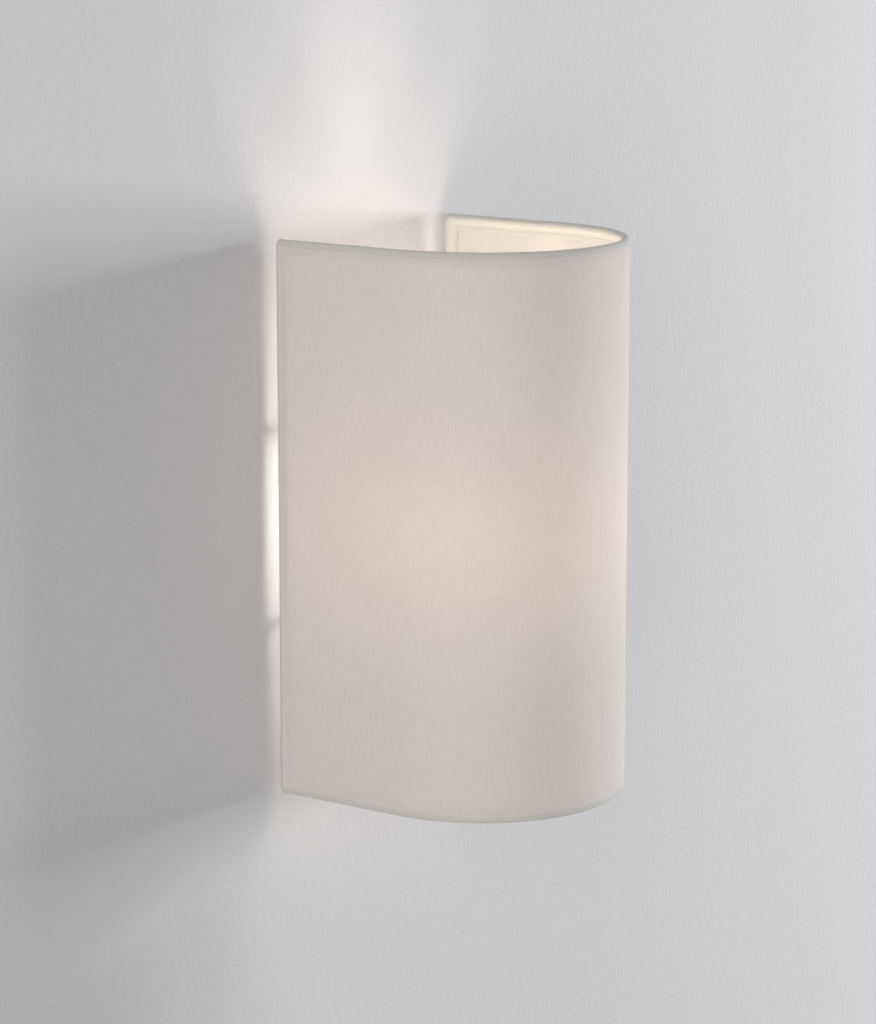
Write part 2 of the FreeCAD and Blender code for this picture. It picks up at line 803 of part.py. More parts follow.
def holder_insert():
    """Porcelain disc that carries the contacts."""
    made = turned("holder_insert", [
        ("0", "insert_foot_level"), ("insert_radius", "insert_foot_level"),
        ("insert_radius", "insert_top_level"), ("0", "insert_top_level")], y=f"-{AXIS}")
    holes = sketch(made, "XY_Plane", "insert_foot_level")
    for side in (-1, 1):
        circle(holes, f"{side} * holder_screw_spread", "0", "small_screw_radius")
    pocket(made, holes, "contact_screw_depth")
    return made


def holder_terminal_screws():
    return group("holder_terminal_screws", [
        turned(f"contact_screw_{side}",
               headed("small_screw_radius", "contact_screw_depth", "small_head_radius", "small_head_thick"),
               f"{side} * holder_screw_spread", f"-{AXIS}", "insert_foot_level",
               FreeCAD.Rotation(FreeCAD.Vector(1, 0, 0), 180))
        for side in (-1, 1)])


def holder_thread_shell():
    """The screwed shell, as its bore and its sheet, standing on the insert."""
    outer = "thread_bore_radius + thread_sheet"
    wall = tube(outer, "thread_bore_radius", "insert_top_level", "thread_top_level")
    return turned("holder_thread_shell", wall, y=f"-{AXIS}")


def holder_centre_contact():
    """Bronze leaf that rises from its foot to the lamp's tip."""
    made = body("holder_centre_contact")
    drawn = sketch(made, "XZ_Plane", f"{AXIS} - leaf_width / 2")
    foot, top = "insert_top_level", "cap_tip_level - leaf_gap"
    outline(drawn, [
        ("-leaf_length", foot), ("-leaf_heel", foot), ("-leaf_crest", f"{top} - leaf_thick"),
        ("leaf_tip", f"{top} - leaf_thick"), ("leaf_tip", top), ("-(leaf_crest + leaf_lean)", top),
        ("-(leaf_heel + leaf_lean)", f"{foot} + leaf_thick"), ("-leaf_length", f"{foot} + leaf_thick")])
    pad(made, drawn, "leaf_width")
    return made


def holder_skirt():
    """Moulded skirt round the threaded shell, with a turned-in mouth."""
    bore = "holder_spigot_radius + push_fit"
    return turned("holder_skirt", [
        (bore, "holder_joint_level"), ("holder_radius", "holder_joint_level"),
        ("holder_radius", "holder_mouth_level - mouth_edge"),
        ("holder_radius - mouth_edge", "holder_mouth_level"), ("holder_lip_radius", "holder_mouth_level"),
        ("holder_lip_radius", "holder_mouth_level - holder_lip_thick"),
        (bore, "holder_mouth_level - holder_lip_thick")], y=f"-{AXIS}")


# ---------------------------------------------------------------- the lamp


def lamp_diffuser():
    """Opal bowl: a ball above its widest line and a longer curve down to the neck."""
    low = "lamp_radius - lamp_bowl_radius"
    inner_neck = f"({low} + sqrt((lamp_bowl_radius - lamp_glass) ^ 2 - (lamp_level - lamp_neck_level) ^ 2))"
    return turned("lamp_diffuser", [
        ("lamp_neck_radius", "lamp_neck_level", "lamp_bowl_radius"),
        ("lamp_radius", "lamp_level", "lamp_radius"),
        ("0", "lamp_level + lamp_radius"),
        ("0", "lamp_level + lamp_radius - lamp_glass", "-(lamp_radius - lamp_glass)"),
        ("lamp_radius - lamp_glass", "lamp_level", "-(lamp_bowl_radius - lamp_glass)"),
        (inner_neck, "lamp_neck_level")], y=f"-{AXIS}")


def lamp_collar():
    """White collar between the cap and the bowl, with a spigot in the cap."""
    spigot, foot = "cap_radius - cap_sheet - push_fit", "cap_top_level - spigot_depth"
    return turned("lamp_collar", [
        (f"{spigot} - collar_wall", foot), (spigot, foot), (spigot, "cap_top_level"),
        ("collar_foot_radius", "cap_top_level"), ("lamp_neck_radius", "lamp_neck_level"),
        ("lamp_neck_radius - collar_wall", "lamp_neck_level"),
        (f"{spigot} - collar_wall", "cap_top_level + collar_floor_rise")], y=f"-{AXIS}")


def lamp_board():
    """Round board that carries the light-emitting chips under the bowl."""
    foot, edge = "lamp_neck_level + board_rise", "lamp_neck_radius - board_edge"
    return turned("lamp_board", tube(edge, "0", foot, f"{foot} + board_thick"), y=f"-{AXIS}")


def lamp_cap_shell():
    """Screw cap of the lamp, as thin sheet drawn in at its foot."""
    return turned("lamp_cap_shell", [
        ("cap_foot_radius - cap_foot_rim", "cap_foot_level"), ("cap_foot_radius", "cap_foot_level"),
        ("cap_radius", "cap_foot_level + cap_taper"), ("cap_radius", "cap_top_level"),
        ("cap_radius - cap_sheet", "cap_top_level"),
        ("cap_radius - cap_sheet", "cap_foot_level + cap_taper + cap_sheet / 3"),
        ("cap_foot_radius - cap_sheet * 2 / 3", "cap_foot_level + cap_sheet"),
        ("cap_foot_radius - cap_foot_rim", "cap_foot_level + cap_sheet")], y=f"-{AXIS}")


def lamp_cap_insulator():
    return turned("lamp_cap_insulator", [
        ("0", "cap_insulator_level"), ("cap_tip_radius + cap_insulator_margin", "cap_insulator_level"),
        ("cap_foot_radius", "cap_foot_level"), ("0", "cap_foot_level")], y=f"-{AXIS}")


def lamp_tip_contact():
    return turned("lamp_tip_contact", [
        ("0", "cap_tip_level"), ("cap_tip_radius / 2", "cap_tip_level"),
        ("cap_tip_radius", "cap_tip_level + cap_tip_crown"),
        ("cap_tip_radius", "cap_insulator_level"), ("0", "cap_insulator_level")], y=f"-{AXIS}")


# ---------------------------------------------------------------- the shade's wire frame


def hem_ring(label, end):
    """The wire in the rolled edge at the top or at the bottom."""
    back = f"{WIRE_BACK} - hem_wire_radius"
    return rod(label, "hem_wire_radius", u_line(WIRE_SIDE, back), f"{end} * {WIRE_LEVEL}", "XZ_Plane", back,
               f"-{WIRE_SIDE}")


def shade_top_ring():
    return hem_ring("shade_top_ring", 1)


def shade_bottom_ring():
    return hem_ring("shade_bottom_ring", -1)


def upright(label, side):
    """The wire in a back edge, between the two rings."""
    made = doc.addObject("Part::Cylinder", label)
    bind(made, "Radius", "hem_wire_radius")
    bind(made, "Height", f"2 * ({WIRE_LEVEL} - hem_wire_radius)")
    return put(made, label, f"{side} * {WIRE_SIDE}", f"-{WIRE_BACK}", f"-({WIRE_LEVEL} - hem_wire_radius)")


def shade_upright_left():
    return upright("shade_upright_left", -1)


def shade_upright_right():
    return upright("shade_upright_right", 1)


def shade_carrier():
    """The rod that hangs the shade: in from each back edge, round the pan's sides and across its front."""
    left = [
        (f"-{ROD_END}", f"-{WIRE_BACK}"), ("-(carrier_side + rod_bend)", f"-{WIRE_BACK}", "-rod_bend"),
        ("-carrier_side", f"-({WIRE_BACK} + rod_bend)"),
        ("-carrier_side", f"-({LUG_OUT} - rod_bend)", "rod_bend"),
        ("-(carrier_side - rod_bend)", f"-{LUG_OUT}")]
    right = [
        ("carrier_side - rod_bend", f"-{LUG_OUT}", "rod_bend"), ("carrier_side", f"-({LUG_OUT} - rod_bend)"),
        ("carrier_side", f"-({WIRE_BACK} + rod_bend)", "-rod_bend"),
        ("carrier_side + rod_bend", f"-{WIRE_BACK}"),
        (ROD_END, f"-{WIRE_BACK}")]
    return rod("shade_carrier", "rod_radius", left + right, "carrier_level", "YZ_Plane", f"-{ROD_END}",
               f"-{WIRE_BACK}")


def rest(label, side):
    """The short rod that bears on the front of the pan and keeps the shade square to the wall."""
    corners = [
        (f"{side} * {ROD_END}", f"-{WIRE_BACK}"),
        (f"{side} * (carrier_side + rod_bend)", f"-{WIRE_BACK}", f"{side} * rod_bend"),
        (f"{side} * carrier_side", f"-({WIRE_BACK} + rod_bend)"),
        (f"{side} * carrier_side", f"-({REST_OUT} - rod_bend)", f"{-side} * rod_bend"),
        (f"{side} * (carrier_side - rod_bend)", f"-{REST_OUT}"),
        (f"{side} * rest_reach_in", f"-{REST_OUT}")]
    return rod(label, "rod_radius", corners, "rest_level", "YZ_Plane", f"{side} * {ROD_END}", f"-{WIRE_BACK}")


def shade_rest_left():
    return rest("shade_rest_left", -1)


def shade_rest_right():
    return rest("shade_rest_right", 1)


def lug(label, side):
    """Pressed lug under the carrier, with a slot that is open below and drops over the stud."""
    made = body(label)
    middle, half, gap = f"{side} * stud_spacing / 2", "lug_width / 2", "lug_slot_width / 2"
    top = "carrier_level - rod_radius"
    drawn = sketch(made, "XZ_Plane", LUG_BACK)
    outline(drawn, [
        (f"{middle} - {half}", "lug_foot_level"), (f"{middle} - {gap}", "lug_foot_level"),
        (f"{middle} - {gap}", "stud_level", f"-{gap}"), (middle, f"stud_level + {gap}", f"-{gap}"),
        (f"{middle} + {gap}", "stud_level"), (f"{middle} + {gap}", "lug_foot_level"),
        (f"{middle} + {half}", "lug_foot_level"), (f"{middle} + {half}", top), (f"{middle} - {half}", top)])
    pad(made, drawn, "lug_thick")
    return made


def carrier_lug_left():
    return lug("carrier_lug_left", -1)


def carrier_lug_right():
    return lug("carrier_lug_right", 1)


# ---------------------------------------------------------------- the shade's cloth and liner


def hem_section(way, rim):
    """Outline of a rolled and turned-in edge: way and rim give the two coordinates of a point that lies
    so far in from the outside face and so far from the edge."""
    wire, liner = HEM, "(cloth_thick + liner_thick)"
    past, short = f"2 * {wire}", f"2 * {wire} - cloth_thick"
    return [(way(0), rim(wire)), (way(wire), rim(0)), (way(past), rim(wire)),
            (way(f"{liner} + cloth_thick"), rim("hem_turn_in")), (way(liner), rim("hem_turn_in")),
            (way(liner), rim(short)), (way("cloth_thick"), rim(short)), (way("cloth_thick"), rim(past)),
            (way(0), rim(past))]


def rolled(corners, sign):
    """The same outline with its first two edges bowed as the rolled edge."""
    return [corner + (f"{sign}{HEM}",) if number < 2 else corner for number, corner in enumerate(corners)]


def shade_fabric(frame):
    """The cloth: a U-shaped wall with its edges rolled over the frame's wires and turned in on the liner."""
    made = body("shade_cloth_blank")
    outer = "shade_width / 2"
    wall = sketch(made, "XY_Plane", f"-{WIRE_LEVEL}")
    outline(wall, u_wall(outer, f"{outer} - cloth_thick", WIRE_BACK))
    pad(made, wall, f"2 * {WIRE_LEVEL}")
    for end in (-1, 1):
        path = sketch(made, "XY_Plane", f"{end} * {WIRE_LEVEL}")
        outline(path, u_line(WIRE_SIDE, WIRE_BACK), closed=False)
        roll = sketch(made, "XZ_Plane", WIRE_BACK)
        corners = hem_section(lambda far: f"-({outer} - ({far}))",
                              lambda far: f"{end} * (shade_height / 2 - ({far}))")
        outline(roll, rolled(corners, "-" if end > 0 else ""))
        pipe(made, roll, path)
    for side in (-1, 1):
        edge = sketch(made, "XY_Plane", f"-{WIRE_LEVEL}")
        corners = hem_section(lambda far: f"{side} * ({outer} - ({far}))",
                              lambda far: f"-(wall_gap + ({far}))")
        outline(edge, rolled(corners, "-" if side < 0 else ""))
        pad(made, edge, f"2 * {WIRE_LEVEL}")
        for end in (-1, 1):
            ball = made.newObject("PartDesign::AdditiveSphere", "corner")
            bind(ball, "Radius", HEM)
            for axis, text in zip("xyz", (f"{side} * {WIRE_SIDE}", f"-{WIRE_BACK}", f"{end} * {WIRE_LEVEL}")):
                bind(ball, f"Placement.Base.{axis}", text)
    return cut("shade_fabric", made, frame)


def shade_liner():
    """The laminate inside the cloth, between the wires."""
    made = body("shade_liner")
    end = f"(shade_height / 2 - 2 * {HEM} + cloth_thick)"
    drawn = sketch(made, "XY_Plane", f"-{end}")
    outline(drawn, u_wall("shade_width / 2 - cloth_thick", LINER_FACE, f"wall_gap + 2 * {HEM} - cloth_thick"))
    pad(made, drawn, f"2 * {end}")
    return made


# ---------------------------------------------------------------- the washers and thumb nuts


def washer(label, side):
    return turned(label, tube("washer_radius", "washer_bore_radius", "0", "washer_thick"),
                  f"{side} * stud_spacing / 2", f"-{WASHER_OUT}", "stud_level", OUTWARD)


def thumb_nut(label, side):
    """Knurled nut: a fluted grip and a plain hub in front of it."""
    made = turned(label, [
        ("thumb_bore_radius", "0"), ("thumb_radius", "0"), ("thumb_radius", "thumb_grip"),
        ("thumb_hub_radius", "thumb_grip"), ("thumb_hub_radius", "thumb_length"),
        ("thumb_bore_radius", "thumb_length")],
        f"{side} * stud_spacing / 2", f"-{THUMB_OUT}", "stud_level", OUTWARD)
    flute = sketch(made, "XY_Plane")
    circle(flute, "thumb_radius", "0", "flute_radius")
    first = pocket(made, flute, "thumb_grip")
    ring = made.newObject("PartDesign::PolarPattern", "flutes")
    ring.Originals = [first]
    ring.Axis = (plane(made, "Z_Axis"), [""])
    ring.Angle = 360
    bind(ring, "Occurrences", "flute_count")
    made.Tip = ring
    return made


# ---------------------------------------------------------------- build, test and write


frame_pieces = [
    shade_top_ring(), shade_bottom_ring(), shade_upright_left(), shade_upright_right(),
    shade_carrier(), shade_rest_left(), shade_rest_right()]
pieces = [
    wall_plate(), plate_studs(), cable_grommet(), terminal_block(), terminal_barrels(), terminal_screws(),
    block_screws(), earth_stud(), earth_tag(), earth_nut(), live_wire(), neutral_wire(), earth_wire(),
    cover_pan(), pan_nuts(), pan_grommet(), lamp_bracket(), bracket_rivets(), holder_base(),
    holder_base_screws(), holder_insert(), holder_terminal_screws(), holder_thread_shell(),
    holder_centre_contact(), holder_skirt(), lamp_diffuser(), lamp_collar(), lamp_board(), lamp_cap_shell(),
    lamp_cap_insulator(), lamp_tip_contact(), carrier_lug_left(), carrier_lug_right(), shade_liner(),
    shade_fabric(frame_pieces), washer("washer_left", -1), washer("washer_right", 1),
    thumb_nut("nut_left", -1), thumb_nut("nut_right", 1)] + frame_pieces
doc.recompute()

for thing in doc.Objects:
    if "Invalid" in thing.State or "Error" in thing.State:
        raise RuntimeError(f"{thing.Label} failed: {thing.State}")
os.makedirs("parts", exist_ok=True)
for piece in pieces:
    shape = piece.Shape
    if shape.isNull() or not shape.isValid() or shape.Volume <= 0:
        raise RuntimeError(f"{piece.Label} has no valid shape")
    print(f"{piece.Label}: {len(shape.Solids)} solid(s), {shape.Volume:.0f} mm3")
for piece in pieces:
    piece.Shape.exportStep(f"parts/{piece.Label}.step")
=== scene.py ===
"""Looks for the fabric shade wall light: cloth on a wire frame, hung on a white wall pan with a lit lamp.

Metres, +Z up, -Y out of the wall, origin on the wall behind the middle of the shade.
"""
import json
import math

import bpy
from mathutils import Matrix, Vector, noise

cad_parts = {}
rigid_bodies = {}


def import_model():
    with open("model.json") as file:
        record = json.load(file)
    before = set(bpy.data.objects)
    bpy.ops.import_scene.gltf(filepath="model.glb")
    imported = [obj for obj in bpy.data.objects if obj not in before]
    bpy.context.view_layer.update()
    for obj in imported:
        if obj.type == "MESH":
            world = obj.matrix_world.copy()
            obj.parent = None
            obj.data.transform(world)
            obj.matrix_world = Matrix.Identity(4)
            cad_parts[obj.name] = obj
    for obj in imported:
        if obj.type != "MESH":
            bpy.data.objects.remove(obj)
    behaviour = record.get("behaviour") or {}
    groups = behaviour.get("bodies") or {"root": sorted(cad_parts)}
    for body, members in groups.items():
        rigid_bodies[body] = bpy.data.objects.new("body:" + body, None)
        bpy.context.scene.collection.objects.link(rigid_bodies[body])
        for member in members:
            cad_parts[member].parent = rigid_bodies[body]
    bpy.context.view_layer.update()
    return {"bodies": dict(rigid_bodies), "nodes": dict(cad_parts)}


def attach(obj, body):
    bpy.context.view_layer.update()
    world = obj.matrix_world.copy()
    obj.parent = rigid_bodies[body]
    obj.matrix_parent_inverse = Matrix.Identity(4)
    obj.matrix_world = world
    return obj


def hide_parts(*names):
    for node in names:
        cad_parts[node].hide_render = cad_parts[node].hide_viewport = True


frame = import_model()

MM = 0.001

# the shade, as in the CAD
HALF_WIDTH = 65 * MM
HALF_HEIGHT = 125 * MM
BACK = 5 * MM  # the back edges' distance from the wall
AXIS_OUT = 70 * MM  # the nose's centre and the lamp's axis
CLOTH = 0.6 * MM
ROLL = 2.0 * MM  # outside radius of a rolled edge
STRAIGHT = AXIS_OUT - BACK
ROUND = math.pi * HALF_WIDTH
GIRTH = 2 * STRAIGHT + ROUND  # the outer face's length in plan


# ---------------------------------------------------------------- materials


MATH, VECTOR, NOISE = "ShaderNodeMath", "ShaderNodeVectorMath", "ShaderNodeTexNoise"


def linear(code, alpha=1.0):
    """An sRGB hex colour as linear values."""
    parts = [int(code[i:i + 2], 16) / 255 for i in (1, 3, 5)]
    return (*(c / 12.92 if c <= 0.04045 else ((c + 0.055) / 1.055) ** 2.4 for c in parts), alpha)


def add(tree, kind, inputs=None, **settings):
    """Add a node with its settings. An input takes a value, or the node or socket that feeds it."""
    made = tree.nodes.new(kind)
    for key, value in settings.items():
        setattr(made, key, value)
    for key, value in (inputs or {}).items():
        source = value.outputs[0] if isinstance(value, bpy.types.Node) else value
        if isinstance(source, bpy.types.NodeSocket):
            tree.links.new(source, made.inputs[key])
        else:
            made.inputs[key].default_value = source
    return made


def material(name):
    """An empty node material and its output."""
    made = bpy.data.materials.new(name)
    made.use_nodes = True
    made.node_tree.nodes.clear()
    return made, made.node_tree, add(made.node_tree, "ShaderNodeOutputMaterial")


def patterned(name, colour, other, patch, grain, height, rough, metallic=0.0, stretch=(1, 1, 1), **surface):
    """A finish with two near colours in soft patches and a fine grain that also moves its roughness.

    patch and grain are sizes in mm, height is the grain's depth in mm, rough the least and most roughness.
    """
    made, tree, out = material(name)
    place = add(tree, "ShaderNodeTexCoord")
    spread = add(tree, "ShaderNodeMapping", {"Scale": stretch, "Vector": place.outputs["Object"]})
    broad = add(tree, NOISE, {"Scale": 1 / (patch * MM), "Detail": 2.0, "Roughness": 0.5, "Vector": spread})
    fine = add(tree, NOISE, {"Scale": 1 / (grain * MM), "Detail": 3.0, "Roughness": 0.6, "Vector": spread})
    tint = add(tree, "ShaderNodeMix", {0: broad, 6: linear(colour), 7: linear(other)}, data_type="RGBA")
    shine = add(tree, "ShaderNodeMapRange", {0: fine, 3: rough[0], 4: rough[1]})
    bump = add(tree, "ShaderNodeBump", {"Strength": 1.0, "Distance": height * MM, "Height": fine})
    skin = add(tree, "ShaderNodeBsdfPrincipled",
               {"Metallic": metallic, **surface, "Base Color": tint.outputs[2], "Roughness": shine,
                "Normal": bump})
    tree.links.new(skin.outputs[0], out.inputs["Surface"])
    return made


# Powder-coated steel sheet: sprayed and baked, a satin white with a faint orange peel.
powder_coat = patterned("white_powder_coat", "#E4E3DE", "#DAD9D3", 40, 1.1, 0.035, (0.38, 0.52))
# Bright zinc on pressed sheet: bluish grey with cloudy yellow patches from the passivation.
zinc_plate = patterned("zinc_plated_sheet", "#C3C6C8", "#CFC9B6", 9, 0.7, 0.012, (0.28, 0.48), 1.0,
                       (1, 1, 0.25))
# Zinc on turned and rolled fasteners: the same grey, a little brighter, with drawing lines along the shank.
zinc_steel = patterned("zinc_plated_fasteners", "#CBCDCE", "#B9B8AE", 2.5, 0.3, 0.01, (0.22, 0.4), 1.0)
# Nickel plated and tumbled brass: warm silver, satin, rubbed brighter where fingers hold it.
satin_nickel = patterned("satin_nickel_plate", "#CFCAC2", "#B9B2A8", 3, 0.25, 0.008, (0.2, 0.36), 1.0)
# Moulded black rubber: matt, with a bloom that greys it in patches.
black_rubber = patterned("moulded_black_rubber", "#1D1C1C", "#2A2928", 4, 0.5, 0.02, (0.6, 0.8))
# Natural nylon: milky, slightly yellow, with the spark-eroded skin of its mould.
natural_nylon = patterned("natural_nylon", "#E2DFD2", "#D8D4C4", 6, 0.35, 0.01, (0.35, 0.5),
                          **{"Subsurface Weight": 0.15, "Subsurface Scale": 1.5 * MM})
# Bare brass: yellow metal, drawn, with browner tarnish where it was handled.
bare_brass = patterned("bare_brass", "#D8B368", "#B98F4A", 3, 0.3, 0.008, (0.2, 0.42), 1.0)
# Extruded PVC insulation: smooth and a little glossy, with a slow wander in its colour.
brown_pvc = patterned("brown_pvc_insulation", "#63341D", "#532914", 8, 0.5, 0.01, (0.3, 0.42))
blue_pvc = patterned("blue_pvc_insulation", "#2C64AE", "#23549A", 8, 0.5, 0.01, (0.3, 0.42))
# Moulded white thermoset: hard gloss with faint flow marks.
white_thermoset = patterned("moulded_white_thermoset", "#E9E7E0", "#E1DED5", 12, 0.8, 0.008, (0.2, 0.32),
                            **{"Coat Weight": 0.25, "Coat Roughness": 0.15})
# Steatite: fired unglazed, off-white, dry and slightly gritty.
steatite = patterned("unglazed_steatite", "#E8E2D4", "#DDD4C2", 5, 0.3, 0.03, (0.55, 0.75))
# Nickel on thin pressed shell: brighter than the nuts, with stretch marks round it.
bright_nickel = patterned("pressed_nickel_shell", "#D5D2CB", "#C2BBAE", 5, 0.4, 0.006, (0.14, 0.3), 1.0,
                          (1, 1, 3))
# The lamp's cap: nickel plated aluminium, a colder silver.
cap_metal = patterned("nickel_plated_aluminium_cap", "#D3D4D5", "#BFC0C0", 4, 0.35, 0.006, (0.16, 0.32), 1.0,
                      (1, 1, 3))
# White polycarbonate collar: moulded, satin.
white_collar = patterned("moulded_white_polycarbonate", "#ECEAE4", "#E4E1D9", 15, 0.6, 0.01, (0.3, 0.4))
# White solder mask on an aluminium board.
white_board = patterned("white_lacquered_board", "#E6E5E0", "#DCDAD2", 4, 0.3, 0.01, (0.3, 0.45))
# Vitrite: black glass poured round the tip contact, glossy with small ripples.
vitrite = patterned("black_vitrite_glass", "#0E0E12", "#17161C", 3, 1.5, 0.03, (0.05, 0.15))
# Plastic-dipped wire: white, thick and soft-edged, satin.
coated_wire = patterned("white_plastic_coated_wire", "#E3E1DB", "#D8D5CD", 8, 0.9, 0.03, (0.35, 0.5))


def earth_insulation():
    """Extruded PVC in two colours: green with a yellow stripe down its front and back."""
    made, tree, out = material("green_and_yellow_pvc_insulation")
    place = add(tree, "ShaderNodeTexCoord")
    across = add(tree, "ShaderNodeSeparateXYZ", {0: place.outputs["Object"]})
    side = add(tree, MATH, {0: across}, operation="ABSOLUTE")
    stripe = add(tree, MATH, {0: side, 1: 0.55 * MM}, operation="LESS_THAN")
    tint = add(tree, "ShaderNodeMix", {0: stripe, 6: linear("#3E8F2E"), 7: linear("#E2C72C")},
               data_type="RGBA")
    wander = add(tree, NOISE, {"Scale": 1 / (0.5 * MM), "Detail": 2.0, "Vector": place.outputs["Object"]})
    shine = add(tree, "ShaderNodeMapRange", {0: wander, 3: 0.3, 4: 0.42})
    bump = add(tree, "ShaderNodeBump", {"Strength": 1.0, "Distance": 0.01 * MM, "Height": wander})
    skin = add(tree, "ShaderNodeBsdfPrincipled",
               {"Base Color": tint.outputs[2], "Roughness": shine, "Normal": bump})
    tree.links.new(skin.outputs[0], out.inputs["Surface"])
    return made


def lit_sheet(tree, skin, glow, share, tint, both_faces):
    """A thin sheet that reflects with its skin and passes a share of the light with its glow.

    Rays that look for a lamp, or that have already come through a sheet, go straight on with a tint, so that
    two or three thin layers pass light as one. both_faces is False for a sheet that still stops light from
    outside.
    """
    mixed = add(tree, "ShaderNodeMixShader", {0: share, 1: skin, 2: glow})
    path = add(tree, "ShaderNodeLightPath")
    passing = add(tree, MATH, {0: path.outputs["Is Shadow Ray"], 1: path.outputs["Is Transmission Ray"]},
                  operation="MAXIMUM")
    if not both_faces:
        inside = add(tree, "ShaderNodeNewGeometry")
        passing = add(tree, MATH, {0: passing, 1: inside.outputs["Backfacing"]}, operation="MULTIPLY")
    clear = add(tree, "ShaderNodeBsdfTransparent", {"Color": tint})
    return add(tree, "ShaderNodeMixShader", {0: passing, 1: mixed, 2: clear})


def on_hem(tree, flat):
    """1 on the rolled edges and 0 on the open cloth, from where the cut lies."""
    axes = add(tree, "ShaderNodeSeparateXYZ", {0: flat})
    sides = []
    for axis, length, seen in ((0, GIRTH, BACK_HEM_SEEN), (1, 2 * HALF_HEIGHT, HEM_SEEN)):
        off = add(tree, MATH, {0: axes.outputs[axis], 1: CUT_MARGIN + length / 2}, operation="SUBTRACT")
        far = add(tree, MATH, {0: off}, operation="ABSOLUTE")
        sides.append(add(tree, "ShaderNodeMapRange",
                         {0: far, 1: length / 2 - seen, 2: length / 2 - seen + 0.9 * MM},
                         interpolation_type="SMOOTHSTEP"))
    return add(tree, MATH, {0: sides[0], 1: sides[1]}, operation="MAXIMUM")


def streaks(tree, flat, across, up, number):
    """Noise drawn out to so many mm across and up."""
    turned = add(tree, "ShaderNodeMapping",
                 {"Scale": (1 / (across * MM), 1 / (up * MM), 1), "Location": (0, 0, number), "Vector": flat})
    return add(tree, NOISE, {"Scale": 1.0, "Detail": 2.0, "Roughness": 0.6, "Vector": turned})


def polycotton():
    """Woven polycotton: plain weave of off-white yarn, thick and thin, with slubs that show darker when lit.

    Its yarns lie 0.4 mm apart, mostly smooth, and the warp shows more than the weft. The rolled edges are
    three layers thick over a wire, so they pass no light; their greyer colour is partly the denser cloth and
    partly painted shade along the roll.
    """
    made, tree, out = material("woven_polycotton")
    cut = add(tree, "ShaderNodeUVMap", uv_map="cut")
    flat = add(tree, "ShaderNodeMapping", {"Scale": (CUT_SPAN, CUT_SPAN, 1), "Vector": cut})
    warp, weft = streaks(tree, flat, 0.7, 9, 0), streaks(tree, flat, 11, 0.6, 3.7)
    thread = add(tree, "ShaderNodeMix", {0: 0.34, 2: warp, 3: weft}, data_type="FLOAT")
    even = add(tree, "ShaderNodeMapRange", {0: thread, 1: 0.3, 2: 0.7})
    long_slub, short_slub = streaks(tree, flat, 1.1, 7, 8.1), streaks(tree, flat, 6, 1.0, 5.3)
    upright = add(tree, "ShaderNodeMapRange", {0: long_slub, 1: 0.66, 2: 0.8},
                  interpolation_type="SMOOTHSTEP")
    level = add(tree, "ShaderNodeMapRange", {0: short_slub, 1: 0.7, 2: 0.84}, interpolation_type="SMOOTHSTEP")
    slub = add(tree, MATH, {0: upright, 1: level}, operation="MAXIMUM")
    patch = add(tree, NOISE, {"Scale": 1 / (45 * MM), "Detail": 2.0, "Vector": flat})
    tone = add(tree, MATH, {0: patch, 1: 0.35, 2: even}, operation="MULTIPLY_ADD")
    axes = add(tree, "ShaderNodeSeparateXYZ", {0: flat})
    waves = []
    for number in (0, 1):
        turns = add(tree, MATH, {0: axes.outputs[number], 1: math.pi / YARN}, operation="MULTIPLY")
        waves.append(add(tree, MATH, {0: turns}, operation="SINE"))
    over = add(tree, MATH, {0: waves[0], 1: waves[1]}, operation="MULTIPLY")
    relief = add(tree, MATH, {0: over, 1: 0.5, 2: even}, operation="MULTIPLY_ADD")
    raised = add(tree, MATH, {0: slub, 1: relief}, operation="ADD")
    bump = add(tree, "ShaderNodeBump", {"Strength": 0.5, "Distance": 0.05 * MM, "Height": raised})
    dull = add(tree, "ShaderNodeMapRange", {0: even, 3: 0.82, 4: 0.95})
    hem = on_hem(tree, flat)
    lit = add(tree, "ShaderNodeMix", {0: tone, 6: linear("#FAF2EE"), 7: linear("#F4EAE5")}, data_type="RGBA")
    worn = add(tree, "ShaderNodeMix", {0: slub, 6: lit.outputs[2], 7: linear("#E9DED6")}, data_type="RGBA")
    # partly painted shade: the rolled edges turn greyer, for the denser cloth and for the shade along the
    # roll
    shown = add(tree, "ShaderNodeMix", {0: hem, 6: worn.outputs[2], 7: linear("#D6D4CD")}, data_type="RGBA")
    through = add(tree, "ShaderNodeMix", {0: tone, 6: linear("#F4E6DA"), 7: linear("#EBD8C9")},
                  data_type="RGBA")
    dark = add(tree, "ShaderNodeMix", {0: slub, 6: through.outputs[2], 7: linear("#D2B7A4")},
               data_type="RGBA")
    skin = add(tree, "ShaderNodeBsdfPrincipled",
               {"Specular IOR Level": 0.2, "Sheen Weight": 0.12, "Sheen Roughness": 0.4,
                "Base Color": shown.outputs[2], "Roughness": dull, "Normal": bump})
    glow = add(tree, "ShaderNodeBsdfTranslucent", {"Color": dark.outputs[2]})
    share = add(tree, "ShaderNodeMapRange", {0: hem, 3: CLOTH_PASSES, 4: 0.0})
    sheet = lit_sheet(tree, skin, glow, share, CLOTH_TINT, both_faces=False)
    tree.links.new(sheet.outputs[0], out.inputs["Surface"])
    return made


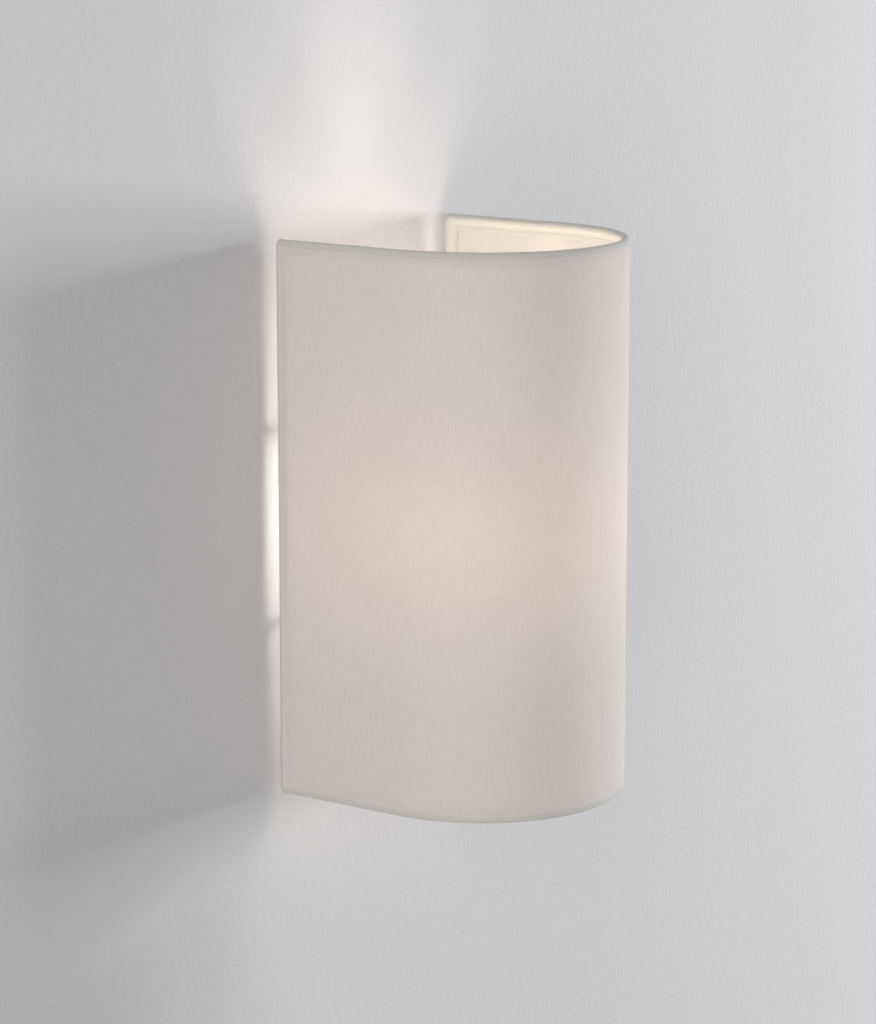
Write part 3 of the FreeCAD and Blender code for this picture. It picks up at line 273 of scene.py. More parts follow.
def laminate():
    """Cast white styrene sheet under the cloth: faintly glossy, evenly milky, with a slight orange peel."""
    made, tree, out = material("white_styrene_laminate")
    place = add(tree, "ShaderNodeTexCoord")
    cloud = add(tree, NOISE, {"Scale": 1 / (18 * MM), "Detail": 2.0, "Vector": place.outputs["Object"]})
    peel = add(tree, NOISE, {"Scale": 1 / (2.5 * MM), "Detail": 2.0, "Vector": place.outputs["Object"]})
    tint = add(tree, "ShaderNodeMix", {0: cloud, 6: linear("#FBF8F3"), 7: linear("#F5F1EB")},
               data_type="RGBA")
    shine = add(tree, "ShaderNodeMapRange", {0: peel, 3: 0.38, 4: 0.5})
    bump = add(tree, "ShaderNodeBump", {"Strength": 0.5, "Distance": 0.03 * MM, "Height": peel})
    skin = add(tree, "ShaderNodeBsdfPrincipled",
               {"Base Color": tint.outputs[2], "Roughness": shine, "Normal": bump})
    glow = add(tree, "ShaderNodeBsdfTranslucent", {"Color": tint.outputs[2]})
    share = add(tree, "ShaderNodeMapRange", {0: cloud, 3: LINER_PASSES, 4: LINER_PASSES * 1.06})
    sheet = lit_sheet(tree, skin, glow, share, LINER_TINT, both_faces=True)
    tree.links.new(sheet.outputs[0], out.inputs["Surface"])
    return made


def opal():
    """Opal polycarbonate bowl, lit from within: even and warm, a little darker towards the neck.

    Light from the lamp inside it comes straight out.
    """
    made, tree, out = material("lit_opal_polycarbonate")
    place = add(tree, "ShaderNodeTexCoord")
    height = add(tree, "ShaderNodeSeparateXYZ", {0: place.outputs["Object"]})
    rise = add(tree, "ShaderNodeMapRange", {0: height.outputs[2], 1: -24 * MM, 2: 6 * MM, 3: 0.75, 4: 1.0},
               interpolation_type="SMOOTHSTEP")
    cloud = add(tree, NOISE, {"Scale": 1 / (6 * MM), "Detail": 2.0, "Vector": place.outputs["Object"]})
    shine = add(tree, "ShaderNodeMapRange", {0: cloud, 3: 0.28, 4: 0.4})
    light = add(tree, "ShaderNodeMix", {0: rise, 6: linear("#E8C9A0"), 7: linear("#FFEBCF")},
                data_type="RGBA")
    bump = add(tree, "ShaderNodeBump", {"Strength": 0.4, "Distance": 0.03 * MM, "Height": cloud})
    skin = add(tree, "ShaderNodeBsdfPrincipled",
               {"Base Color": linear("#F1EEE8"), "Emission Strength": BOWL_GLOW,
                "Emission Color": light.outputs[2], "Roughness": shine, "Normal": bump})
    path = add(tree, "ShaderNodeLightPath")
    clear = add(tree, "ShaderNodeBsdfTransparent")
    passing = add(tree, "ShaderNodeMixShader", {0: path.outputs["Is Shadow Ray"], 1: skin, 2: clear})
    tree.links.new(passing.outputs[0], out.inputs["Surface"])
    return made


def room_paint(name, colour, other):
    """Roller-painted plaster, seen from the room's side only, so that the back of the light can be looked at.

    Low on the left its colour is painted darker: painted shade, standing in for the room's dimmer light
    there.
    """
    made, tree, out = material(name)
    place = add(tree, "ShaderNodeTexCoord")
    broad = add(tree, NOISE, {"Scale": 1 / (120 * MM), "Detail": 3.0, "Vector": place.outputs["Object"]})
    fine = add(tree, NOISE,
               {"Scale": 1 / (3.5 * MM), "Detail": 3.0, "Roughness": 0.55, "Vector": place.outputs["Object"]})
    tint = add(tree, "ShaderNodeMix", {0: broad, 6: linear(colour), 7: linear(other)}, data_type="RGBA")
    axes = add(tree, "ShaderNodeSeparateXYZ", {0: place.outputs["Object"]})
    left = add(tree, "ShaderNodeMapRange", {0: axes, 1: PAINTED_SHADE_LEFT[0], 2: PAINTED_SHADE_LEFT[1], 3: 0.0, 4: 1.0},
               interpolation_type="SMOOTHSTEP")
    low = add(tree, "ShaderNodeMapRange",
              {0: axes.outputs[2], 1: PAINTED_SHADE_LOW[0], 2: PAINTED_SHADE_LOW[1], 3: 0.0, 4: PAINTED_SHADE_MOST},
              interpolation_type="SMOOTHSTEP")
    # painted shade: how far the paint is darkened here, low on the left
    dim = add(tree, MATH, {0: left, 1: low}, operation="MULTIPLY")
    shaded = add(tree, "ShaderNodeMix", {0: dim, 6: tint.outputs[2], 7: linear("#000000")}, data_type="RGBA")
    bump = add(tree, "ShaderNodeBump", {"Strength": 0.8, "Distance": 0.45 * MM, "Height": fine})
    skin = add(tree, "ShaderNodeBsdfPrincipled",
               {"Roughness": 0.75, "Base Color": shaded.outputs[2], "Normal": bump})
    clear = add(tree, "ShaderNodeBsdfTransparent")
    behind = add(tree, "ShaderNodeNewGeometry")
    seen = add(tree, "ShaderNodeMixShader", {0: behind.outputs["Backfacing"], 1: skin, 2: clear})
    tree.links.new(seen.outputs[0], out.inputs["Surface"])
    return made


CUT_SPAN = 0.4  # metres of cloth across the cut's map
CUT_MARGIN = 16 * MM  # the map's margin beyond the shade's edges
HEM_SEEN, BACK_HEM_SEEN = 3.3 * MM, 2.2 * MM
YARN = 0.4 * MM
CLOTH_PASSES, CLOTH_TINT = 0.175, (0.88, 0.745, 0.66, 1)
LINER_PASSES, LINER_TINT = 0.27, (0.68, 0.7, 0.66, 1)
BOWL_GLOW = 1.1
# painted shade on the wall and floor: their colour darkens between these places, in metres, to the left and
# downwards, by at most this share
PAINTED_SHADE_LEFT, PAINTED_SHADE_LOW, PAINTED_SHADE_MOST = (-0.03, -0.22), (-0.08, -0.2), 0.24


# ---------------------------------------------------------------- meshes


def mesh_piece(name, points, faces, smooth=True):
    """A mesh object at the origin, from its points and faces."""
    data = bpy.data.meshes.new(name)
    data.from_pydata([tuple(p) for p in points], [], faces)
    if smooth:
        data.shade_smooth()
    else:
        data.shade_flat()
    made = bpy.data.objects.new(name, data)
    bpy.context.scene.collection.objects.link(made)
    return made


def applied(piece):
    """The piece with its modifiers made part of its mesh."""
    graph = bpy.context.evaluated_depsgraph_get()
    data = bpy.data.meshes.new_from_object(piece.evaluated_get(graph))
    piece.modifiers.clear()
    piece.data = data
    data.name = piece.name
    return piece


def on_shade(along, level, depth):
    """A point of the shade: so far along its outer line from the left back edge, at a level, so deep in."""
    if along <= STRAIGHT:
        return Vector((-HALF_WIDTH + depth, -BACK - along, level))
    if along >= STRAIGHT + ROUND:
        return Vector((HALF_WIDTH - depth, -BACK - (GIRTH - along), level))
    turn = math.pi + (along - STRAIGHT) / HALF_WIDTH
    far = HALF_WIDTH - depth
    return Vector((far * math.cos(turn), -AXIS_OUT + far * math.sin(turn), level))


def hem_profile():
    """Round a rolled edge, from outside inwards: (inset from the edge, depth from the outer face, corner)."""
    steps = [(4.6, 0, 2.6), (3.7, 0, 2.4), (3.1, -0.03, 2.2)]
    for turn in range(20, -236, -15):
        a = math.radians(turn)
        steps.append((1.8 + ROLL / MM * math.sin(a), 1.8 - ROLL / MM * math.cos(a), 2.0))
    steps += [(4.0, 2.35, 2.6), (4.5, 1.95, 2.8), (5.1, 1.76, 3.0), (5.8, 1.74, 3.0), (6.45, 1.74, 3.0)]
    return [tuple(v * MM for v in step) for step in steps]


def stops(length, ends, middle):
    """Places along a length: close together at its ends and even between them."""
    near = [0, 0.5, 1.0, 1.6, 2.3, 3.2, 4.5, 6.5, 9.0]
    near = [n * MM for n in near if n * MM < ends]
    between = [ends + (length - 2 * ends) * i / middle for i in range(middle + 1)]
    return near + between + [length - n for n in reversed(near)]


def shade_cloth():
    """The cloth: one sheet, rolled round the wires and turned in on the liner, with mitred corners."""
    profile = hem_profile()
    edge = profile[0][0]
    tall, zone = 2 * HALF_HEIGHT, 11 * MM
    alongs = [edge + s for s in stops(GIRTH - 2 * edge, zone, 128)]
    levels = [edge + s for s in stops(tall - 2 * edge, zone, 46)]
    points, cut = [], []

    def slack(along, level):
        """The cloth lies almost true: a tenth of a millimetre of unevenness, none at the hems."""
        ease = min(along, GIRTH - along, level, tall - level, 30 * MM) / (30 * MM)
        return 0.11 * MM * ease * noise.noise(Vector((along / 0.05, level / 0.085, 2.5)))

    def put(along, level, depth, cut_at):
        """Add a point of the shade, with its place on the flat cut, and give its number."""
        points.append(on_shade(along, level - HALF_HEIGHT, depth + slack(along, level)))
        cut.append(cut_at)
        return len(points) - 1

    grid = [[put(a, z, 0.0, (a + CUT_MARGIN, z + CUT_MARGIN)) for a in alongs] for z in levels]
    count, rows = len(alongs), len(levels)
    rim = ([(i, 0) for i in range(count)] + [(count - 1, j) for j in range(1, rows)]
           + [(i, rows - 1) for i in range(count - 2, -1, -1)] + [(0, j) for j in range(rows - 2, 0, -1)])

    def shifted(value, whole, inset):
        """Move a place near either end so that the end comes to the inset."""
        for near, sign in ((value, 1), (whole - value, -1)):
            if near < edge + zone:
                pull = inset + (near - edge) * (edge + zone - inset) / zone
                return pull if sign > 0 else whole - pull
        return value

    def rounded(along, level, inset, radius):
        """Round the ring's corner."""
        from_side, from_end = min(along, GIRTH - along) - inset, min(level, tall - level) - inset
        if from_side > radius or from_end > radius:
            return along, level
        far = max(from_side, from_end) / radius
        turn = math.radians(45 + (45 if from_side > from_end else -45) * far)
        side, end = (inset + radius * (1 - f(turn)) for f in (math.cos, math.sin))
        return (side if along < GIRTH / 2 else GIRTH - side), (end if level < tall / 2 else tall - end)

    rings, run = [[grid[j][i] for i, j in rim]], 0.0
    for before, step in zip(profile, profile[1:]):
        run += math.hypot(step[0] - before[0], step[1] - before[1])
        ring = []
        for i, j in rim:
            a0, z0 = alongs[i], levels[j]
            a, z = rounded(shifted(a0, GIRTH, step[0]), shifted(z0, tall, step[0]), step[0], step[2])
            u = a0 + (run if i == count - 1 else -run if i == 0 else 0)
            v = z0 + (run if j == rows - 1 else -run if j == 0 else 0)
            ring.append(put(a, z, step[1], (u + CUT_MARGIN, v + CUT_MARGIN)))
        rings.append(ring)

    faces = [(grid[j][i], grid[j][i + 1], grid[j + 1][i + 1], grid[j + 1][i])
             for j in range(rows - 1) for i in range(count - 1)]
    for inner, outer in zip(rings, rings[1:]):
        for k in range(len(inner)):
            n = (k + 1) % len(inner)
            faces.append((inner[n], inner[k], outer[k], outer[n]))
    piece = mesh_piece("shade_cloth", points, faces)
    layer = piece.data.uv_layers.new(name="cut")
    for loop in piece.data.loops:
        layer.data[loop.index].uv = [c / CUT_SPAN for c in cut[loop.vertex_index]]
    thick = piece.modifiers.new("thickness", "SOLIDIFY")
    thick.thickness, thick.offset, thick.use_even_offset = CLOTH, -1.0, True
    piece.data.materials.append(polycotton())
    return applied(piece)


cloth = shade_cloth()
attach(cloth, "shade")
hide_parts("shade_fabric")

# ---------------------------------------------------------------- finishes of the carried-over pieces

liner_sheet, lit_opal, earth_pvc = laminate(), opal(), earth_insulation()
finishes = {
    liner_sheet: ["shade_liner"],
    coated_wire: ["shade_top_ring", "shade_bottom_ring", "shade_upright_left", "shade_upright_right",
                  "shade_carrier", "carrier_lug_left", "carrier_lug_right", "shade_rest_left",
                  "shade_rest_right"],
    zinc_plate: ["wall_plate"],
    zinc_steel: ["earth_nut", "pan_nuts"],
    black_rubber: ["cable_grommet", "pan_grommet"],
    natural_nylon: ["terminal_block"],
    bare_brass: ["terminal_barrels", "earth_tag", "holder_centre_contact", "lamp_tip_contact"],
    brown_pvc: ["live_wire"],
    blue_pvc: ["neutral_wire"],
    earth_pvc: ["earth_wire"],
    powder_coat: ["cover_pan", "lamp_bracket"],
    white_thermoset: ["holder_base"],
    steatite: ["holder_insert"],
    lit_opal: ["lamp_diffuser"],
    white_collar: ["lamp_collar"],
    white_board: ["lamp_board"],
    vitrite: ["lamp_cap_insulator"],
    satin_nickel: ["washer_left", "washer_right"],
}
for finish, names in finishes.items():
    for name in names:
        for slot in frame["nodes"][name].material_slots:
            slot.material = finish

# ---------------------------------------------------------------- turned details


def place(x, y, z, turn):
    """Turn a piece about X, from standing on its own Z axis, and move it; millimetres and degrees."""
    return Matrix.Translation(Vector((x, y, z)) * MM) @ Matrix.Rotation(math.radians(turn), 4, "X")


OUTWARD, DOWNWARD, UPRIGHT = 90, 180, 0  # turns that point a piece's own axis out of the wall, down, or up


def stepped(profile, step):
    """The profile with its long runs along the axis divided, so that ridges have points to move."""
    points = [profile[0]]
    for (r0, z0), (r1, z1) in zip(profile, profile[1:]):
        parts = max(1, round(abs(z1 - z0) / step))
        points += [(r0 + (r1 - r0) * i / parts, z0 + (z1 - z0) * i / parts) for i in range(1, parts + 1)]
    return points


def blank(name, profile, around, closed=False):
    """A turned solid from (radius, height) in mm; closed joins the last point to the first, for a ring."""
    points, rows = [], []
    for r, z in profile:
        if r < 1e-6:
            points.append((0, 0, z * MM))
            rows.append([len(points) - 1] * around)
            continue
        rows.append(list(range(len(points), len(points) + around)))
        turns = (2 * math.pi * i / around for i in range(around))
        points += [(r * MM * math.cos(t), r * MM * math.sin(t), z * MM) for t in turns]
    if closed:
        rows.append(rows[0])
    faces = []
    for low, high in zip(rows, rows[1:]):
        for i in range(around):
            n = (i + 1) % around
            corners = dict.fromkeys((low[i], low[n], high[n], high[i]))
            faces.append(tuple(corners))
    return mesh_piece(name, points, faces)


def ridged_blank(tree, given):
    """Ridges pressed into the blank between two heights: threads, knurls or ribs.

    Turns is how many times a ridge goes round per metre along the axis: 1 / lead for a thread, 0 for a rib.
    """
    axes = add(tree, "ShaderNodeSeparateXYZ", {0: add(tree, "GeometryNodeInputPosition")})
    x, y, z = axes.outputs
    angle = add(tree, MATH, {0: y, 1: x}, operation="ARCTAN2")
    share_round = add(tree, MATH, {0: angle, 1: 2 * math.pi}, operation="DIVIDE")
    ridges_round = add(tree, MATH, {0: share_round, 1: given["Ridges"]}, operation="MULTIPLY")
    climb = add(tree, MATH, {0: z, 1: given["Turns"]}, operation="MULTIPLY")
    phase = add(tree, MATH, {0: climb, 1: ridges_round}, operation="SUBTRACT")
    saw = add(tree, MATH, {0: phase, 1: 0.5}, operation="PINGPONG")
    groove = add(tree, "ShaderNodeMapRange", {0: saw, 1: 0.0, 2: 0.5, 3: 0.0, 4: 1.0},
                 interpolation_type="SMOOTHSTEP")
    first_full = add(tree, MATH, {0: given["From"], 1: given["Fade"]}, operation="ADD")
    last_full = add(tree, MATH, {0: given["To"], 1: given["Fade"]}, operation="SUBTRACT")
    after = add(tree, "ShaderNodeMapRange", {0: z, 1: given["From"], 2: first_full})
    before = add(tree, "ShaderNodeMapRange", {0: z, 1: last_full, 2: given["To"], 3: 1.0, 4: 0.0})
    flat = add(tree, "ShaderNodeCombineXYZ", {0: x, 1: y})
    radius = add(tree, VECTOR, {0: flat}, operation="LENGTH").outputs["Value"]
    outside = add(tree, MATH, {0: radius, 1: given["Least Radius"]}, operation="GREATER_THAN")
    along = add(tree, MATH, {0: after, 1: before}, operation="MULTIPLY")
    zone = add(tree, MATH, {0: along, 1: outside}, operation="MULTIPLY")
    depth = add(tree, MATH, {0: groove, 1: given["Depth"]}, operation="MULTIPLY")
    pressed = add(tree, MATH, {0: depth, 1: zone}, operation="MULTIPLY")
    some_radius = add(tree, MATH, {0: radius, 1: 1e-6}, operation="MAXIMUM")
    share = add(tree, MATH, {0: pressed, 1: some_radius}, operation="DIVIDE")
    outward = add(tree, VECTOR, {0: flat, "Scale": share}, operation="SCALE")
    inward = add(tree, VECTOR, {0: (0, 0, 0), 1: outward}, operation="SUBTRACT")
    return add(tree, "GeometryNodeSetPosition", {"Geometry": given["Geometry"], "Offset": inward})


def slotted_blank(tree, given, ridged, has_slot):
    """A screwdriver slot across the blank's end, down to its floor, where the piece has one."""
    bounds = add(tree, "GeometryNodeBoundBox", {"Geometry": ridged})
    far_x, _, far_z = add(tree, "ShaderNodeSeparateXYZ", {0: bounds.outputs["Max"]}).outputs
    depth = add(tree, MATH, {0: far_z, 1: given["Slot Floor"]}, operation="SUBTRACT")
    height = add(tree, MATH, {0: depth, 1: 2.0}, operation="MULTIPLY")
    length = add(tree, MATH, {0: far_x, 1: 3.0}, operation="MULTIPLY")
    size = add(tree, "ShaderNodeCombineXYZ", {0: length, 1: given["Slot Width"], 2: height})
    blade = add(tree, "GeometryNodeMeshCube", {"Size": size})
    end = add(tree, "ShaderNodeCombineXYZ", {2: far_z})
    raised = add(tree, "GeometryNodeTransform", {"Geometry": blade, "Translation": end})
    slotted = add(tree, "GeometryNodeMeshBoolean", {0: ridged, 1: raised}, operation="DIFFERENCE")
    return add(tree, "GeometryNodeSwitch", {"Switch": has_slot, "False": ridged, "True": slotted},
               input_type="GEOMETRY")


def copies_set_out(tree, given, one, has_slot):
    """Copies on a grid of rows and columns; slotted ones each stop at a turn of their own."""
    spots = add(tree, "GeometryNodeMeshGrid", {"Size X": given["Width"], "Size Y": given["Height"],
                                               "Vertices X": given["Columns"], "Vertices Y": given["Rows"]})
    points = add(tree, "GeometryNodeMeshToPoints", {"Mesh": spots})
    any_turn = add(tree, "FunctionNodeRandomValue", {2: 0.0, 3: 2 * math.pi, "Seed": given["Seed"]},
                   data_type="FLOAT")
    turn = add(tree, MATH, {0: any_turn.outputs[1], 1: has_slot}, operation="MULTIPLY")
    turned = add(tree, "ShaderNodeCombineXYZ", {2: turn})
    return add(tree, "GeometryNodeInstanceOnPoints", {"Points": points, "Instance": one, "Rotation": turned})


def details_tree():
    """Geometry Nodes: ridges round a turned blank, a slot across its end, and copies set out on a grid."""
    tree = bpy.data.node_groups.new("turned_details", "GeometryNodeTree")
    face = tree.interface
    face.new_socket("Geometry", in_out="OUTPUT", socket_type="NodeSocketGeometry")
    face.new_socket("Geometry", in_out="INPUT", socket_type="NodeSocketGeometry")
    for name in ("Ridges", "Turns", "Depth", "From", "To", "Fade", "Least Radius", "Slot Width", "Slot Floor",
                 "Width", "Height"):
        face.new_socket(name, in_out="INPUT", socket_type="NodeSocketFloat").default_value = 0.0
    for name, start in (("Columns", 1), ("Rows", 1), ("Seed", 0)):
        face.new_socket(name, in_out="INPUT", socket_type="NodeSocketInt").default_value = start
    face.new_socket("Finish", in_out="INPUT", socket_type="NodeSocketMaterial")
    given = add(tree, "NodeGroupInput").outputs
    has_slot = add(tree, "FunctionNodeCompare", {0: given["Slot Width"], 1: 0.0}, operation="GREATER_THAN")
    one = slotted_blank(tree, given, ridged_blank(tree, given), has_slot)
    whole = add(tree, "GeometryNodeRealizeInstances", {0: copies_set_out(tree, given, one, has_slot)})
    painted = add(tree, "GeometryNodeSetMaterial", {"Geometry": whole, "Material": given["Finish"]})
    add(tree, "NodeGroupOutput", {0: painted})
    return tree


DETAILS = details_tree()


def detailed(piece, finish, spot, node, body, slot, **inputs):
    """Give a blank its ridges, slot and copies, put it in its place, and let it stand for a node."""
    piece.data.materials.append(finish)
    nodes = piece.modifiers.new("details", "NODES")
    nodes.node_group = DETAILS
    names = {item.name: item.identifier for item in DETAILS.interface.items_tree
             if item.item_type == "SOCKET" and item.in_out == "INPUT"}
    nodes[names["Finish"]] = finish
    for key, value in inputs.items():
        nodes[names[key.replace("_", " ").title()]] = value
    applied(piece)
    piece.data.transform(spot)
    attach(piece, body)
    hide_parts(node)


def millimetres(**inputs):
    """Inputs given in mm, in metres."""
    return {key: value * MM for key, value in inputs.items()}


def ridges(number, lead, start, end, depth, fade, least_radius=0.0):
    """Inputs for ridges from a start to an end, of a depth that fades in and out; a lead of 0 makes ribs."""
    return {"Ridges": float(number), "Turns": 1 / (lead * MM) if lead else 0.0,
            **millimetres(From=start, To=end, Depth=depth, Fade=fade, Least_Radius=least_radius)}


# leads in mm of the M4 threads and of the 27 mm screw cap, and how finely a blank follows each turn of them
METRIC, EDISON = 0.7, 25.4 / 7
METRIC_STEP, EDISON_STEP = METRIC / 7, EDISON / 14
# how far out from the wall, in mm, the faces lie that the pieces stand on
PLATE_FACE, POLE_SEAT, BLOCK_FACE, PAN_INSIDE, WASHER_FACE = 1.5, 8.6, 14.5, 17.0, 23.8
LAMP_OUT = AXIS_OUT / MM
# levels in mm, as in the CAD
STUD_LEVEL, BLOCK_LEVEL, RIVET_LEVEL, EARTH_LEVEL, CONTACT_LEVEL, FOOT_LEVEL = 28, -8, -38, -42, -93, -109
STUD_X = 28


def stud(name, reach):
    """A projection-welded M4 stud: rolled thread, chamfered end, welded foot."""
    foot = [(0, 0), (2.8, 0), (2.8, 0.5), (2.5, 0.8), (2.0, 0.8)]
    shaft = stepped([(2.0, 1.3), (2.0, reach - 0.5)], METRIC_STEP)
    return blank(name, foot + shaft + [(1.5, reach), (0, reach)], 32)


def threaded_studs():
    """The two studs that carry the shade, and the earth stud: rolled threads catch the light turn by turn."""
    for name, node, level, reach, row in (("threaded_studs", "plate_studs", STUD_LEVEL, 33, 2),
                                          ("threaded_earth_stud", "earth_stud", EARTH_LEVEL, 10, 1)):
        thread = ridges(1, METRIC, 1.6, reach, 0.36, 0.5, 1.9)
        detailed(stud(name, reach), zinc_steel, place(0, -PLATE_FACE, level, OUTWARD), node, "fixture",
                 "stud_steel", Columns=row, **millimetres(Width=2 * STUD_X), **thread)


def pan_head(name, shank):
    """A pan-head screw: the head stands on zero, the shank below it."""
    head = [(1.5, 0), (2.75, 0), (2.75, 0.7), (2.6, 1.15), (2.2, 1.5), (1.5, 1.72), (0, 1.8)]
    return blank(name, [(0, -shank), (1.2, -shank), (1.5, -shank + 0.3)] + head, 32)


def slotted_screws():
    """Every screw with its slot, stopped at a turn of its own."""
    slot = millimetres(Slot_Width=0.7, Slot_Floor=0.75)
    detailed(pan_head("slotted_block_screws", 14), zinc_steel, place(0, -BLOCK_FACE, BLOCK_LEVEL, OUTWARD),
             "block_screws", "fixture", "stud_steel", Columns=2, Seed=4, **millimetres(Width=10), **slot)
    detailed(pan_head("slotted_holder_screws", 4.8), zinc_steel, place(0, -LAMP_OUT, FOOT_LEVEL, DOWNWARD),
             "holder_base_screws", "fixture", "stud_steel", Rows=2, Seed=7, **millimetres(Height=18), **slot)
    detailed(pan_head("slotted_contact_screws", 4.8), bare_brass,
             place(0, -LAMP_OUT, CONTACT_LEVEL, DOWNWARD), "holder_terminal_screws", "fixture",
             "terminal_brass", Columns=2, Seed=2, **millimetres(Width=18), **slot)
    pole = [(0, 0.1), (1.1, 0.1), (1.4, 0.4), (1.4, 4.2), (1.2, 4.5), (0, 4.5)]
    detailed(blank("slotted_pole_screws", pole, 28), zinc_steel,
             place(0, -POLE_SEAT, BLOCK_LEVEL, OUTWARD), "terminal_screws", "fixture", "stud_steel",
             Columns=3, Rows=2, Seed=5, **millimetres(Slot_Width=0.55, Slot_Floor=3.6, Width=20, Height=8))


def domed_rivets():
    """The two rivets that hold the bracket to the pan: a domed head in front, an upset tail behind."""
    tail = [(0, -1.1), (1.5, -1.1), (2.4, -0.8), (2.4, -0.2), (1.9, 0), (1.6, 0), (1.6, 3.0), (3.0, 3.0)]
    turns = [math.radians(10 * i) for i in range(9)]
    dome = [(3.0 * math.cos(t), 3.15 + 1.05 * math.sin(t)) for t in turns]
    detailed(blank("domed_rivets", tail + dome + [(0, 4.2)], 36), zinc_steel,
             place(0, -PAN_INSIDE, RIVET_LEVEL, OUTWARD), "bracket_rivets", "fixture", "stud_steel", Rows=2,
             **millimetres(Height=24))


def threaded_cap():
    """The lamp's cap: thin pressed metal with the round thread of a 27 mm screw cap, spun in at its foot."""
    foot = [(10.8, -72), (11.3, -72), (11.6, -71.7), (12.6, -70)]
    wall = stepped([(13.15, -69.2), (13.15, -50.5)], EDISON_STEP)
    inside = stepped([(12.85, -50.5), (12.85, -69.1)], EDISON_STEP)
    outline = foot + wall + inside + [(12.3, -70), (11.35, -71.6), (10.8, -71.7)]
    detailed(blank("threaded_cap", outline, 72, closed=True), cap_metal, place(0, -LAMP_OUT, 0, UPRIGHT),
             "lamp_cap_shell", "lamp", "lamp_cap", **ridges(1, EDISON, -70, -51.5, 0.45, 2, 11))


def threaded_shell():
    """The holder's inner shell, pressed with the same thread, its mouth rolled outwards."""
    outside = stepped([(14.35, -79), (14.35, -56.8)], EDISON_STEP)
    inside = stepped([(13.95, -56.8), (13.95, -79)], EDISON_STEP)
    lip, foot = [(14.35, -56.2), (14.1, -56.2)], [(13.95, -79.6), (13.6, -80)]
    outline = [(14.35, -80)] + outside + lip + inside + foot
    detailed(blank("threaded_shell", outline, 72, closed=True), bright_nickel,
             place(0, -LAMP_OUT, 0, UPRIGHT), "holder_thread_shell", "fixture", "holder_nickel",
             **ridges(1, EDISON, -79.4, -56.6, 0.4, 1.5))


def ribbed_skirt():
    """The holder's skirt: moulded with grip ribs, a beaded foot and a rounded mouth."""
    foot = [(17.6, -84), (19.3, -84), (19.5, -83.8), (19.5, -82.4), (19.2, -82.1), (19.2, -81.1)]
    ribs = stepped([(19.5, -80.6), (19.5, -53.4)], 0.8)
    turns = [math.radians(15 * i) for i in range(7)]
    mouth = [(18.3 + 1.2 * math.cos(t), -51.2 + 1.2 * math.sin(t)) for t in turns]
    lip = [(14.9, -50), (14.2, -50.7), (14.2, -52.6), (14.6, -53), (17.6, -53)]
    detailed(blank("ribbed_skirt", foot + ribs + [(19.5, -52.6)] + mouth + lip, 216, closed=True),
             white_thermoset, place(0, -LAMP_OUT, 0, UPRIGHT), "holder_skirt", "fixture", "holder_plastic",
             **ridges(36, 0, -80.6, -53.4, 0.55, 1.6, 18.5))


def knurled_nuts():
    """The thumb nuts: a straight knurl between two chamfered lips, and a hub."""
    back = [(2.4, 0), (5.5, 0), (5.85, 0.3)]
    grip = stepped([(6.0, 0.9), (6.0, 5.1)], 0.7)
    hub = [(5.85, 5.7), (5.5, 6), (4.3, 6), (4.0, 6.25), (4.0, 7.6), (3.6, 8), (2.5, 8)]
    bore = [(2.08, 7.6), (2.08, 0.35)]
    for side, x in (("left", -STUD_X), ("right", STUD_X)):
        detailed(blank(f"knurled_nut_{side}", back + grip + hub + bore, 180, closed=True), satin_nickel,
                 place(x, -WASHER_FACE, STUD_LEVEL, OUTWARD), f"nut_{side}", f"nut_{side}", "nut_nickel",
                 **ridges(45, 0, 0.8, 5.2, 0.28, 0.5, 5.8))


threaded_studs()
slotted_screws()
domed_rivets()
threaded_cap()
threaded_shell()
ribbed_skirt()
knurled_nuts()

# ---------------------------------------------------------------- room, camera and lights

WALL_FACE = 0.3 * MM  # just behind the plate, so that the two don't share a plane
ROOM_SIDE, ROOM_FRONT, FLOOR, WALL_TOP = 3, -4, -1.5, 1.6


def backdrop(name, corners, paint):
    """A flat sheet that belongs to the room and not to the light."""
    made = mesh_piece(name, corners, [(0, 1, 2, 3)], smooth=False)
    made.data.materials.append(paint)
    return made


room_wall = backdrop("wall", [(-ROOM_SIDE, WALL_FACE, FLOOR), (ROOM_SIDE, WALL_FACE, FLOOR),
                              (ROOM_SIDE, WALL_FACE, WALL_TOP), (-ROOM_SIDE, WALL_FACE, WALL_TOP)],
                     room_paint("painted_plaster_wall", "#D9D9DA", "#D6D6D8"))
room_floor = backdrop("floor", [(-ROOM_SIDE, ROOM_FRONT, FLOOR), (ROOM_SIDE, ROOM_FRONT, FLOOR),
                                (ROOM_SIDE, WALL_FACE, FLOOR), (-ROOM_SIDE, WALL_FACE, FLOOR)],
                      room_paint("pale_painted_floor", "#DDDDDC", "#D9D9D8"))

view = bpy.data.cameras.new("camera")
view.lens, view.sensor_width = 119.5, 36.0
view.clip_start, view.clip_end = 0.05, 30
camera = bpy.data.objects.new("camera", view)
bpy.context.scene.collection.objects.link(camera)
AZIMUTH, ELEVATION, DISTANCE = math.radians(-54.21), math.radians(11.28), 1.608
LOOK_AT = Vector((56.7, -5.0, -15.9)) * MM
to_camera = Vector((math.sin(AZIMUTH) * math.cos(ELEVATION), -math.cos(AZIMUTH) * math.cos(ELEVATION),
                    math.sin(ELEVATION)))
camera.location = LOOK_AT + to_camera * DISTANCE
camera.rotation_euler = to_camera.to_track_quat("Z", "Y").to_euler()
bpy.context.scene.camera = camera


def lamp(name, kind, power, colour, spot, look_at=None, **sizes):
    """A light the camera doesn't see, at a spot, turned to look at a point."""
    data = bpy.data.lights.new(name, kind)
    data.energy, data.color = power, colour
    for key, value in sizes.items():
        setattr(data, key, value)
    made = bpy.data.objects.new(name, data)
    made.location = spot
    if look_at is not None:
        made.rotation_euler = (Vector(spot) - Vector(look_at)).to_track_quat("Z", "Y").to_euler()
    made.visible_camera = False
    bpy.context.scene.collection.objects.link(made)
    return made


